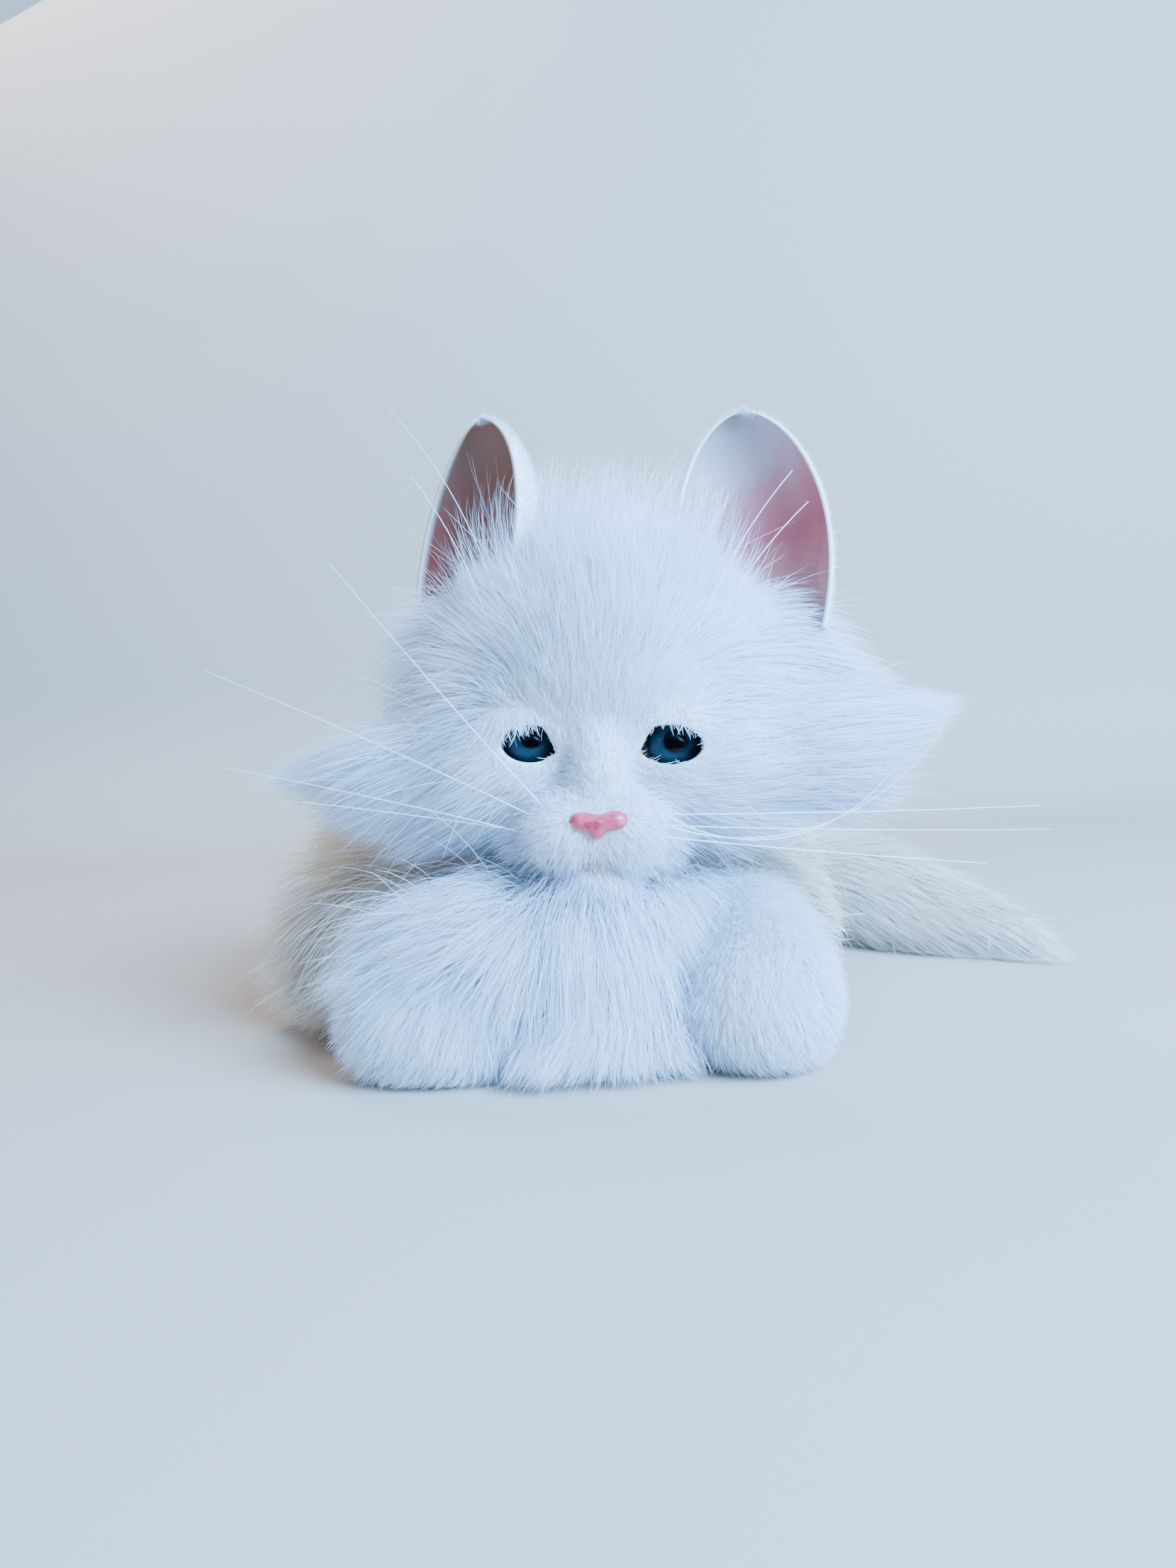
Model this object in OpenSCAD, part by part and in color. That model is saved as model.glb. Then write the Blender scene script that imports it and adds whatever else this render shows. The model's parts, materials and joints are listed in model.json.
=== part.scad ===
// Interactive plush pet: a lying long-haired toy cat on a battery-powered chassis.
// Millimetres, +Z up, the cat faces -Y. The origin is the middle of the flat underside.

/* [Plush] */
// Radius of the stuffed skull
skull_fur_r = 50; // [49:0.5:51]
// Radius of the muzzle
muzzle_r = 17; // [16:0.5:17]
// Reach of the left cheek tuft from the middle of the head
cheek_reach_left = 104; // [96:1:106]
// Reach of the right cheek tuft from the middle of the head
cheek_reach_right = 116; // [104:1:118]
// Radius of the haunches
haunch_r = 34; // [33:1:35]
// Radius of a front paw
paw_r = 21; // [20:0.5:21]
// Radius of the tail at its thickest
tail_r = 19; // [17:1:19]

/* [Pose] */
// Turn of the head to its side
head_turn = -3; // [-4:1:4]
// Sideways tilt of the head
head_tilt = 3; // [0:1:4]

/* [Head] */
// Radius of the hard skull
skull_r = 44; // [44:0.5:44.5]
// Wall of the hard skull
skull_wall = 2.2; // [1.8:0.1:2.4]
// Distance of an eye from the middle of the head
eye_x = 21.5; // [21:0.5:22]
// Radius of an eye
eye_r = 11; // [10.5:0.1:11]
// Height of an ear along its axis
ear_h = 70; // [60:1:70]
// Widest radius of an ear
ear_r = 24.5; // [23:0.5:25]
// Radius of a whisker
whisker_r = 0.3; // [0.25:0.05:0.5]

/* [Chassis] */
// Width of the chassis
chassis_w = 92; // [90:1:92]
// Length of the chassis
chassis_l = 156; // [156:1:158]
// Wall of the chassis
chassis_wall = 2; // [1.8:0.1:2.2]
// Height of the joint line between the two shells
split_z = 26; // [25:1:27]
// Height of the front of the chassis
front_top_z = 46; // [45:1:46]
// Height of the rear of the chassis
rear_top_z = 60; // [59:1:61]

/* [Drive] */
// Module of the gears
gear_module = 0.7; // [0.7]
// Teeth of the motor pinion
pinion_teeth = 10; // [10]
// Teeth of the large reduction gear
reduction_teeth = 34; // [34]
// Teeth of the small reduction gear
step_teeth = 12; // [12]
// Teeth of the crank gear
crank_teeth = 40; // [40]
// Radius of the gear axles
axle_r = 1.5; // [1.4:0.1:1.6]

/* [Fits] */
// Radial clearance of a turning shaft in its hole
running_gap = 0.06; // [0.04:0.01:0.09]
// Gap between pieces that don't touch
air_gap = 0.3; // [0.3:0.05:0.4]

/* [Hidden] */
$fn = 48;
FUR_FN = 26;      // facets of the spheres under a hull
FAR = 400;        // longer than the whole pet
CUT = 1;          // how far a cutter passes a face

// Neck joint, where the pan and the nod axes cross
neck_pos = [5, -18, 80];
neck_post_r = 7;
neck_bush_r = 10;
nod_pin_r = 2;

// Places in the head's own frame, whose origin is the neck joint
skull_pos = [0, -8, 30];
eye_pos = [eye_x, -37, 15];
muzzle_pos = [0, -50, -4];
nose_pos = [1, -66, -6];
jaw_pos = [0, -26, -12];
mouth_z = -17;
ear_base_left = [-43, -4, 49];
ear_base_right = [48, -4, 49];
socket_r = eye_r + 2.4;
lid_in = eye_r + 0.4;
lid_out = eye_r + 1.6;
trunnion_r = 1.2;

// Battery bay, with four cells side by side
cell_r = 7.15;
cell_l = 49.5;
cell_pitch = 15.2;
cells = 4;
bay_w = 62.4;
bay_y = [5, 63];
bay_top_z = 18.4;
bay_wall = 1.6;
door_z = [0.4, 2.2];
door_fit = 0.35;
hinge_r = (door_z[1] - door_z[0]) / 2;
hinge_pin_l = 1;
hinge_hole_l = hinge_pin_l + air_gap;
cell_z = 10.3;

// Chassis
chassis_y = [-62, -62 + chassis_l];
floor_t = 3;
step_y = 4;
corner_r = 14;
screw_at = [[-38, -46], [38, -46], [-38, 80], [38, 80]];

// Gear train, whose axles lie along X
train_z = 39;
pinion_y = 18;
mesh_slack = 0.12;
reduction_y = pinion_y + gear_module * (pinion_teeth + reduction_teeth) / 2 + mesh_slack;
crank_y = reduction_y + gear_module * (step_teeth + crank_teeth) / 2 + mesh_slack;
plate_x = [-10, 14];
plate_t = 2;
plate_y = [6.5, 64];
spacer_at = [[10, 24], [60, 55]];
spacer_r = 1.2;

// Front leg that moves
leg_axis = [46, -30, 34];
leg_axle_r = 3;
leg_axle_x = [36, 53];
leg_room = 3;
paw_right = [47, -66, paw_r];
paw_left = [-47, -62, paw_r];

// Tail
tail_pivot = [48, 101, 0];
tail_marks = [
    [70, 101, 20, 13],
    [98, 98, 20, 18],
    [130, 78, 18, tail_r],
    [156, 54, 10, 11],
    [176, 34, 4.5, 4.5]
];
tail_steps = 9;
tail_room_z = 42;
tail_plate_z = [[12, 15], [27, 30]];
tail_pin_r = 2;
tail_core_r = 5;

// Touch plungers
back_touch = [0, 76];
head_touch = [0, -8];
head_screw_x = 38.5;
plunger_r = 6;
plunger_travel = 2;

// Power switch
switch_at = [-32, -12];

// Circuit board
board_z = [6, 7.6];
board_post_x = [-30, 25];

// ---------------------------------------------------------------- helpers

// A stuffed shape around balls, each [x, y, z, radius]
module stuffed(balls) {
    hull()
        for (b = balls)
            translate([b[0], b[1], b[2]])
                sphere(r = b[3], $fn = FUR_FN);
}

// A flat plate outline with round corners
module round_plan(w, l, r) {
    square([w - 2 * r, l], center = true);
    square([w, l - 2 * r], center = true);
    for (x = [-1, 1], y = [-1, 1])
        translate([x * (w / 2 - r), y * (l / 2 - r)])
            circle(r = r);
}

// A box between two corners
module block(low, high) {
    translate(low)
        cube(high - low);
}

// A rod along X from x0 to x1
module rod_x(x0, x1, r) {
    translate([x0, 0, 0])
        rotate([0, 90, 0])
            cylinder(r = r, h = x1 - x0);
}

// Places children in the head's frame
module in_head() {
    translate(neck_pos)
        rotate([0, head_tilt, head_turn])
            children();
}

// Everything above the surface that the pet lies on
module above_floor() {
    intersection() {
        children();
        translate([-FAR / 2, -FAR / 2, 0])
            cube([FAR, FAR, FAR]);
    }
}

// A thin nylon bristle that bows sideways between two points
module bristle(from, to, bow, roll) {
    chord = to - from;
    length = norm(chord);
    bend_r = (length * length / 4 + bow * bow) / (2 * bow);
    half_angle = asin(length / 2 / bend_r);
    translate(from)
        rotate([0, -atan2(chord[2], norm([chord[0], chord[1]])), atan2(chord[1], chord[0])])
            rotate([roll, 0, 0])
                translate([length / 2, -(bend_r - bow), 0])
                    rotate([0, 0, 90 - half_angle])
                        rotate_extrude(angle = 2 * half_angle)
                            translate([bend_r, 0])
                                circle(r = whisker_r, $fn = 16);
}

// Outline of a spur gear; phase turns a tooth away from the first axis
function gear_outline(teeth, phase) = let (
    pitch_r = gear_module * teeth / 2,
    root_r = pitch_r - 1.2 * gear_module,
    tip_r = pitch_r + 0.9 * gear_module,
    root_half = deg_of(1.0 * gear_module, root_r),
    tip_half = deg_of(0.32 * gear_module, tip_r)
) [
    for (i = [0 : teeth - 1])
        for (k = [[root_r, -root_half], [tip_r, -tip_half], [tip_r, tip_half], [root_r, root_half]])
            let (a = phase + 360 * i / teeth + k[1])
                [k[0] * cos(a), k[0] * sin(a)]
];

// Angle under an arc of a given length
function deg_of(arc, radius) = arc / radius * 180 / PI;

// A spur gear from x0 to x1, turning about X
module gear_x(teeth, phase, x0, x1) {
    translate([x0, 0, 0])
        rotate([90, 0, 90])
            linear_extrude(height = x1 - x0)
                polygon(gear_outline(teeth, phase));
}

// ---------------------------------------------------------------- chassis

module chassis_plan(inset) {
    translate([0, (chassis_y[0] + chassis_y[1]) / 2])
        round_plan(chassis_w - 2 * inset, chassis_l - 2 * inset, corner_r - inset);
}

module chassis_lower() {
    grille_ring = 6;
    grille_r = 1.4;
    color("white")
        difference() {
            union() {
                difference() {
                    linear_extrude(height = split_z)
                        chassis_plan(0);
                    translate([0, 0, floor_t])
                        linear_extrude(height = split_z)
                            chassis_plan(chassis_wall);
                }
                block([-bay_w / 2 - bay_wall, bay_y[0] - bay_wall, 0],
                      [bay_w / 2 + bay_wall, bay_y[1] + bay_wall, bay_top_z + bay_wall]);
                for (p = screw_at)
                    translate([p[0], p[1], 0])
                        cylinder(r = 4, h = split_z);
            }
            block([-bay_w / 2, bay_y[0], -CUT], [bay_w / 2, bay_y[1], bay_top_z]);
            for (p = screw_at) {
                translate([p[0], p[1], -CUT])
                    cylinder(r = 3, h = 6 + CUT);
                translate([p[0], p[1], 0])
                    cylinder(r = 1.25, h = split_z + CUT);
            }
            for (ring = [1, 2], i = [0 : ring * grille_ring - 1])
                rotate_about([0, -40], 360 * i / (ring * grille_ring))
                    translate([ring * 5.5, 0, -CUT])
                        cylinder(r = grille_r, h = floor_t + 2 * CUT, $fn = 24);
            block([switch_at[0] - 3.5, switch_at[1] - 6, -CUT],
                  [switch_at[0] + 3.5, switch_at[1] + 6, floor_t + CUT]);
            on_door_hinge()
                rod_x(-bay_w / 2 - hinge_hole_l, bay_w / 2 + hinge_hole_l, hinge_r + running_gap);
        }
}

// Turns children about a vertical axis through a point
module rotate_about(point, angle) {
    translate([point[0], point[1], 0])
        rotate([0, 0, angle])
            children();
}

// The upper shell's outer form, or its hollow when inset by the wall
module upper_form(inset, low) {
    difference() {
        translate([0, 0, low])
            linear_extrude(height = rear_top_z - inset - low)
                chassis_plan(inset);
        block([-FAR, -FAR, front_top_z - inset], [FAR, step_y + inset, FAR]);
    }
}

module chassis_upper() {
    color("white")
        difference() {
            union() {
                difference() {
                    upper_form(0, split_z);
                    upper_form(chassis_wall, split_z - CUT);
                }
                intersection() {
                    upper_form(0, split_z);
                    for (p = screw_at)
                        translate([p[0], p[1], split_z])
                            cylinder(r = 4, h = FAR);
                }
            }
            for (p = screw_at)
                translate([p[0], p[1], split_z - CUT])
                    cylinder(r = 1, h = 10 + CUT);
            translate([neck_pos[0], neck_pos[1], split_z])
                cylinder(r = neck_bush_r, h = FAR);
            translate([back_touch[0], back_touch[1], split_z])
                cylinder(r = plunger_r + air_gap, h = FAR);
            translate([0, leg_axis[1], leg_axis[2]])
                rod_x(chassis_w / 2 - 2 * chassis_wall, FAR, leg_axle_r + running_gap);
        }
}

module chassis_screws() {
    color("silver")
        for (p = screw_at)
            translate([p[0], p[1], 3]) {
                cylinder(r = 2.4, h = 3);
                cylinder(r = 1, h = split_z + 4);
            }
}

// Places children on the battery door's hinge line
module on_door_hinge() {
    translate([0, bay_y[0] + door_fit + hinge_r, door_z[0] + hinge_r])
        children();
}

module battery_door() {
    color("white")
        difference() {
            union() {
                block([-bay_w / 2 + door_fit, bay_y[0] + door_fit + hinge_r, door_z[0]],
                      [bay_w / 2 - door_fit, bay_y[1] - door_fit, door_z[1]]);
                on_door_hinge()
                    rod_x(-bay_w / 2 - hinge_pin_l, bay_w / 2 + hinge_pin_l, hinge_r);
            }
            translate([0, bay_y[1] - 5, -CUT])
                cylinder(r = 1.6, h = FAR);
            for (i = [-2 : 2])
                block([-12, 20 + 3 * i, 0], [12, 21 + 3 * i, door_z[0] + 0.5]);
        }
}

module battery_door_screw() {
    color("silver")
        translate([0, bay_y[1] - 5, door_z[0] + 0.2])
            difference() {
                union() {
                    cylinder(r = 1.6, h = 1.4);
                    cylinder(r = 1.1, h = 4);
                }
                block([-1.3, -0.3, -CUT], [1.3, 0.3, 0.6]);
                block([-0.3, -1.3, -CUT], [0.3, 1.3, 0.6]);
            }
}

module battery_cells() {
    nub_l = 1.2;
    for (i = [0 : cells - 1])
        color(i % 2 == 0 ? "dimgray" : "goldenrod")
            translate([(i - (cells - 1) / 2) * cell_pitch, (bay_y[0] + bay_y[1]) / 2 - 2, cell_z])
                rotate([90, 0, i % 2 == 0 ? 0 : 180]) {
                    translate([0, 0, -cell_l / 2])
                        cylinder(r = cell_r, h = cell_l);
                    translate([0, 0, cell_l / 2])
                        cylinder(r = 2.7, h = nub_l);
                }
}

module battery_contacts() {
    plate = 0.5;
    color("silver")
        for (y = [bay_y[0], bay_y[1] - plate], i = [0 : cells - 1])
            translate([(i - (cells - 1) / 2) * cell_pitch, y, cell_z])
                block([-5, 0, -5], [5, plate, 5]);
}

module battery_springs() {
    coil_r = 4;
    wire = 0.45;
    turns = 3;
    profile = concat(
        [[0, 0]],
        [for (i = [0 : 2 * turns]) [coil_r - 0.35 * i - (i % 2) * wire, i * wire]],
        [[0, 2 * turns * wire]]
    );
    color("silver")
        for (i = [0 : cells - 1])
            translate([(i - (cells - 1) / 2) * cell_pitch, bay_y[1] - 0.5, cell_z])
                rotate([90, 0, 0])
                    rotate_extrude()
                        polygon(profile);
}

module power_switch_body() {
    color("dimgray")
        difference() {
            block([switch_at[0] - 6, switch_at[1] - 9, floor_t],
                  [switch_at[0] + 6, switch_at[1] + 9, floor_t + 7]);
            block([switch_at[0] - 3.5, switch_at[1] - 6, 0],
                  [switch_at[0] + 3.5, switch_at[1] + 6, floor_t + 4]);
        }
}

module power_switch_knob() {
    color("black")
        translate([switch_at[0], switch_at[1] - 2, 0]) {
            block([-3, -3.4, 1.5], [3, 3.4, floor_t + 3.5]);
            for (i = [-1 : 1])
                block([-2.4, i * 2 - 0.4, 0.8], [2.4, i * 2 + 0.4, 1.5]);
        }
}

// ---------------------------------------------------------------- electronics and drive

module speaker_frame() {
    color("dimgray")
        translate([0, -40, floor_t])
            difference() {
                union() {
                    cylinder(r = 18, h = 3);
                    cylinder(r1 = 16, r2 = 11, h = 9);
                    cylinder(r = 9, h = 13);
                }
                translate([0, 0, -CUT])
                    cylinder(r = 15, h = 2.6 + CUT);
            }
}

module speaker_cone() {
    color("black")
        translate([0, -40, floor_t])
            rotate_extrude()
                polygon([[0, 1.4], [4, 1.4], [12, 0.4], [15, 0.4], [15, 1], [12, 1], [4, 2.2], [0, 2.2]]);
}

module circuit_board() {
    color("darkgreen")
        difference() {
            union() {
                block([-33, 67, board_z[0]], [28, 84, board_z[1]]);
                for (x = board_post_x)
                    translate([x, 75, floor_t])
                        cylinder(r = 2.2, h = board_z[0] - floor_t);
            }
            for (x = board_post_x)
                translate([x, 75, floor_t - CUT])
                    cylinder(r = 1.2, h = board_z[1] + CUT);
        }
}

module circuit_chips() {
    color("black") {
        block([-10, 70, board_z[1]], [4, 80, board_z[1] + 2]);
        block([8, 70, board_z[1]], [14, 76, board_z[1] + 1.4]);
    }
    color("silver")
        for (x = [-26, -18])
            translate([x, 76, board_z[1]])
                cylinder(r = 3, h = 8);
}

module drive_motor() {
    can_r = 10.4;
    can_l = 25;
    color("silver")
        translate([plate_x[0] - can_l, pinion_y, train_z])
            difference() {
                union() {
                    rod_x(0, can_l, can_r);
                    rod_x(-3, 0, 4);
                }
                rod_x(can_l - 6, can_l + CUT, 1 + running_gap);
            }
}

module motor_shaft() {
    color("silver")
        translate([plate_x[0] - 5, pinion_y, train_z])
            rod_x(0, 16, 1);
}

module motor_pinion() {
    color("goldenrod")
        translate([0, pinion_y, train_z])
            difference() {
                gear_x(pinion_teeth, 0, -7, -1);
                rod_x(-8, 0, 1);
            }
}

module reduction_gear() {
    color("ivory")
        translate([0, reduction_y, train_z])
            difference() {
                union() {
                    gear_x(reduction_teeth, 180 + 180 / reduction_teeth, -6.5, -1.5);
                    gear_x(step_teeth, 0, -1.5, 6);
                    rod_x(-7.4, -6.5, 3);
                }
                rod_x(-9, 8, axle_r + running_gap);
            }
}

module crank_gear() {
    cam_r = 7;
    throw = 4;
    color("ivory")
        translate([0, crank_y, train_z])
            difference() {
                union() {
                    gear_x(crank_teeth, 180 + 180 / crank_teeth, 0.5, 5);
                    rod_x(-7.4, 0.5, 3);
                    translate([0, 0, throw])
                        rod_x(5, 9, cam_r);
                    translate([0, 0, throw + 3])
                        rod_x(9, 11, 1.8);
                }
                rod_x(-9, 12, axle_r + running_gap);
            }
}

module gear_axles() {
    color("silver")
        for (y = [reduction_y, crank_y])
            translate([0, y, train_z])
                rod_x(plate_x[0], plate_x[1], axle_r);
}

module gear_plates() {
    low_z = bay_top_z + bay_wall;
    color("gainsboro")
        for (x = [plate_x[0], plate_x[1] - plate_t])
            difference() {
                block([x, plate_y[0], low_z], [x + plate_t, plate_y[1], rear_top_z - chassis_wall]);
                for (y = [reduction_y, crank_y])
                    translate([0, y, train_z])
                        rod_x(x - CUT, x + plate_t + CUT, axle_r);
                translate([0, pinion_y, train_z])
                    rod_x(x - CUT, x + plate_t + CUT, 2.5);
                for (p = spacer_at)
                    translate([0, p[0], p[1]])
                        rod_x(x - CUT, x + plate_t + CUT, spacer_r);
            }
}

module gear_spacers() {
    color("silver")
        for (p = spacer_at)
            translate([0, p[0], p[1]]) {
                rod_x(plate_x[0], plate_x[1], spacer_r);
                rod_x(plate_x[0] + plate_t, plate_x[1] - plate_t, spacer_r + 1);
            }
}

// ---------------------------------------------------------------- neck

module neck_bush() {
    flange_t = 1.4;
    color("dimgray")
        translate([neck_pos[0], neck_pos[1], 0])
            difference() {
                union() {
                    translate([0, 0, 40])
                        cylinder(r = neck_bush_r, h = front_top_z - 40);
                    translate([0, 0, front_top_z])
                        cylinder(r = neck_bush_r + 3, h = flange_t);
                }
                cylinder(r = neck_post_r + running_gap, h = FAR);
            }
}

module neck_post() {
    yoke_x = [9, 13];
    lever_l = 12;
    color("white")
        translate([neck_pos[0], neck_pos[1], 0])
            difference() {
                union() {
                    translate([0, 0, 30])
                        cylinder(r = neck_post_r, h = 20);
                    translate([0, 0, 48])
                        cylinder(r = 13.5, h = 4);
                    for (side = [-1, 1])
                        translate([side * (yoke_x[0] + yoke_x[1]) / 2, 0, 0]) {
                            block([-2, -6, 51], [2, 6, neck_pos[2]]);
                            translate([0, 0, neck_pos[2]])
                                rod_x(-2, 2, 6);
                        }
                    block([-3, 0, 30], [3, neck_post_r + lever_l, 34]);
                }
                translate([0, 0, neck_pos[2]])
                    rod_x(-FAR / 2, FAR / 2, nod_pin_r);
                difference() {
                    translate([0, 0, 37])
                        cylinder(r = neck_post_r + CUT, h = 1.2);
                    translate([0, 0, 36])
                        cylinder(r = neck_post_r - 1.2, h = 4);
                }
            }
}

module neck_clip() {
    color("silver")
        translate([neck_pos[0], neck_pos[1], 37])
            difference() {
                cylinder(r = neck_post_r + 2.5, h = 1.2);
                translate([0, 0, -CUT])
                    cylinder(r = neck_post_r - 1.2, h = 4);
                block([-4, -FAR / 2, -CUT], [4, -5, 4]);
            }
}

module neck_pin() {
    color("silver")
        translate(neck_pos) {
            rod_x(-15, 13, nod_pin_r);
            rod_x(-15, -13, nod_pin_r + 1);
        }
}

module head_bracket() {
    color("white")
        translate(neck_pos)
            difference() {
                union() {
                    rod_x(-7.5, 7.5, 6);
                    block([-7.5, -4, 0], [7.5, 4, 20]);
                    block([-20, -5, 20], [20, 5, 23]);
                    for (side = [-1, 1])
                        block([side * 18 - 2, -5, 22], [side * 18 + 2, 5, skull_pos[2]]);
                }
                rod_x(-FAR / 2, FAR / 2, nod_pin_r + running_gap);
            }
}

// ---------------------------------------------------------------- head

// Cutters for both eye sockets
module sockets(r) {
    for (side = [-1, 1])
        translate([side * eye_pos[0], eye_pos[1], eye_pos[2]])
            sphere(r = r);
}

// Half of the hard skull: side is -1 for the front and 1 for the rear
module skull_half(side) {
    difference() {
        union() {
            translate(skull_pos)
                sphere(r = skull_r);
            if (side < 0)
                translate(muzzle_pos)
                    sphere(r = muzzle_r - 5);
        }
        translate(skull_pos)
            sphere(r = skull_r - skull_wall);
        translate(muzzle_pos)
            sphere(r = muzzle_r - 7);
        if (side < 0)
            block([-FAR, skull_pos[1], -FAR], [FAR, FAR, FAR]);
        if (side > 0)
            block([-FAR, -FAR, -FAR], [FAR, skull_pos[1], FAR]);
        translate([0, 0, -FAR])
            cylinder(r = 23, h = FAR);
        translate([head_touch[0], head_touch[1], skull_pos[2]])
            cylinder(r = plunger_r + air_gap, h = FAR);
        if (side < 0) {
            sockets(socket_r);
            block([-FAR, -FAR, -FAR], [FAR, jaw_pos[1] + 8, mouth_z + 14]);
        }
    }
}

module head_shell_front() {
    color("white")
        in_head()
            difference() {
                union() {
                    skull_half(-1);
                    for (side = [-1, 1])
                        translate([side * head_screw_x, skull_pos[1], skull_pos[2]])
                            rotate([90, 0, 0])
                                cylinder(r = 4, h = 3);
                }
                for (side = [-1, 1])
                    translate([side * head_screw_x, skull_pos[1] + CUT, skull_pos[2]])
                        rotate([90, 0, 0])
                            cylinder(r = 1.2, h = 3 + 2 * CUT);
            }
}

module head_shell_rear() {
    color("white")
        in_head()
            difference() {
                union() {
                    skull_half(1);
                    for (side = [-1, 1])
                        translate([side * head_screw_x, skull_pos[1], skull_pos[2]])
                            rotate([-90, 0, 0])
                                cylinder(r = 4, h = 10);
                }
                for (side = [-1, 1])
                    translate([side * head_screw_x, skull_pos[1] - CUT, skull_pos[2]])
                        rotate([-90, 0, 0])
                            cylinder(r = 1, h = 8 + CUT);
            }
}

module head_screws() {
    color("silver")
        in_head()
            for (side = [-1, 1])
                translate([side * head_screw_x, skull_pos[1], skull_pos[2]])
                    rotate([-90, 0, 0]) {
                        translate([0, 0, -5])
                            cylinder(r = 2.4, h = 2);
                        translate([0, 0, -3])
                            cylinder(r = 1, h = 10);
                    }
}

module eye_frame() {
    color("white")
        in_head()
            difference() {
                block([-34, -20, eye_pos[2] - 7], [34, -16.5, eye_pos[2] + 8]);
                for (side = [-1, 1])
                    translate([side * eye_pos[0], 0, eye_pos[2]])
                        rotate([90, 0, 0])
                            cylinder(r = 3, h = FAR);
                block([-16, -FAR, -FAR], [16, FAR, eye_pos[2]]);
            }
}

// An eye with its rear post and the two trunnions that carry the lid
module eye(side) {
    post_end = -16.5;
    color("steelblue")
        in_head()
            translate([side * eye_pos[0], eye_pos[1], eye_pos[2]]) {
                sphere(r = eye_r);
                rod_x(-lid_out, lid_out, trunnion_r);
                rotate([-90, 0, 0])
                    cylinder(r = 3, h = post_end - eye_pos[1]);
            }
}

module eye_left() {
    eye(-1);
}

module eye_right() {
    eye(1);
}

// A lid: part of a thin round shell above the eye, on two trunnions
module eyelid(side) {
    lid_low = 36;
    lid_span = 86;
    color("white")
        in_head()
            translate([side * eye_pos[0], eye_pos[1], eye_pos[2]])
                difference() {
                    intersection() {
                        sphere(r = lid_out);
                        union() {
                            rotate([-lid_low, 0, 0])
                                rotate([90, 0, 90])
                                    translate([0, 0, -FAR / 2])
                                        linear_extrude(height = FAR)
                                            polygon([
                                                [0, 0],
                                                [-FAR, 0],
                                                [-FAR, FAR],
                                                [-FAR * cos(lid_span), FAR * sin(lid_span)]
                                            ]);
                            rod_x(-lid_out, lid_out, 2.6);
                        }
                    }
                    sphere(r = lid_in);
                    rod_x(-FAR / 2, FAR / 2, trunnion_r + running_gap);
                }
}

module eyelid_left() {
    eyelid(-1);
}

module eyelid_right() {
    eyelid(1);
}

module jaw() {
    color("mistyrose")
        in_head()
            difference() {
                union() {
                    translate([0, jaw_pos[1], jaw_pos[2]])
                        rod_x(-9, 9, 3.4);
                    block([-8, -54, mouth_z - 3], [8, jaw_pos[1], mouth_z - 0.6]);
                    translate([0, -54, mouth_z - 3])
                        cylinder(r = 8, h = 2.4);
                    block([-8, jaw_pos[1] - 3, mouth_z - 3], [8, jaw_pos[1] + 3, jaw_pos[2]]);
                }
                translate([0, jaw_pos[1], jaw_pos[2]])
                    rod_x(-FAR / 2, FAR / 2, 1.5 + running_gap);
            }
}

module jaw_pin() {
    color("silver")
        in_head()
            translate([0, jaw_pos[1], jaw_pos[2]])
                rod_x(-14, 14, 1.5);
}

module nose() {
    color("salmon")
        in_head()
            translate(nose_pos)
                hull() {
                    for (side = [-1, 1])
                        translate([side * 4.8, -0.5, 1.4])
                            sphere(r = 3.1, $fn = 28);
                    translate([0, 0.2, -2.6])
                        sphere(r = 2.4, $fn = 28);
                    translate([0, -1.6, 0.8])
                        sphere(r = 3.4, $fn = 28);
                }
}

// Half outline of a pointed ear, from its base to its tip
function ear_outline(r, h) = [
    for (i = [0 : 12])
        let (t = i / 12)
            [r * (i == 12 ? 0 : sqrt(1 - pow(t, 1.9)) * (0.9 + 0.5 * t - 0.15 * t * t)), h * t]
];

// A moulded ear; side mirrors it, turn is how far its opening faces outwards
module ear(side, turn, base) {
    ear_wall = 1.6;
    open_at = 7;
    inner = ear_outline(ear_r - ear_wall, ear_h - 2 * ear_wall);
    color("mistyrose")
        in_head()
            translate(base)
                rotate([-4, 0, side * turn])
                    difference() {
                        rotate_extrude()
                            polygon(concat([[0, 0]], ear_outline(ear_r, ear_h)));
                        translate([0, 0, -CUT / 2])
                            rotate_extrude()
                                polygon(concat([[0, 0]], inner));
                        block([-FAR, -FAR, -CUT], [FAR, -open_at, FAR]);
                    }
}

module ear_left() {
    ear(-1, 46, ear_base_left);
}

module ear_right() {
    ear(1, -8, ear_base_right);
}

module whiskers_left() {
    root = [-13, -61, -6];
    color("white")
        in_head() {
            bristle(root + [-1, 0, 4], [-77, -54, 68], 3, 0);
            bristle(root, [-114, -54, 37], 5, 180);
            bristle(root + [-2, 1, -4], [-112, -44, 8], 4, 180);
            bristle(root + [-4, 2, -3], [-88, -46, -2], 3, 180);
        }
}

module whiskers_right() {
    root = [15, -61, -6];
    color("white")
        in_head() {
            bristle(root + [1, 0, 3], [129, -46, -1], 5, 180);
            bristle(root, [133, -45, -8], 6, 180);
            bristle(root + [0, 0, -3], [114, -47, -18], 4, 180);
            bristle(root + [2, 1, 1], [101, -42, 21], 16, 270);
            bristle(root + [3, 2, 4], [86, -46, 9], 14, 270);
        }
}

module brow_whiskers() {
    color("white")
        in_head() {
            bristle([-25, -45, 34], [-61, -46, 113], 7, 90);
            bristle([-28, -44, 33], [-55, -44, 94], 4, 90);
            bristle([24, -44, 34], [57, -32, 97], 4, 90);
            bristle([27, -43, 33], [62, -31, 88], 4, 90);
        }
}

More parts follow.
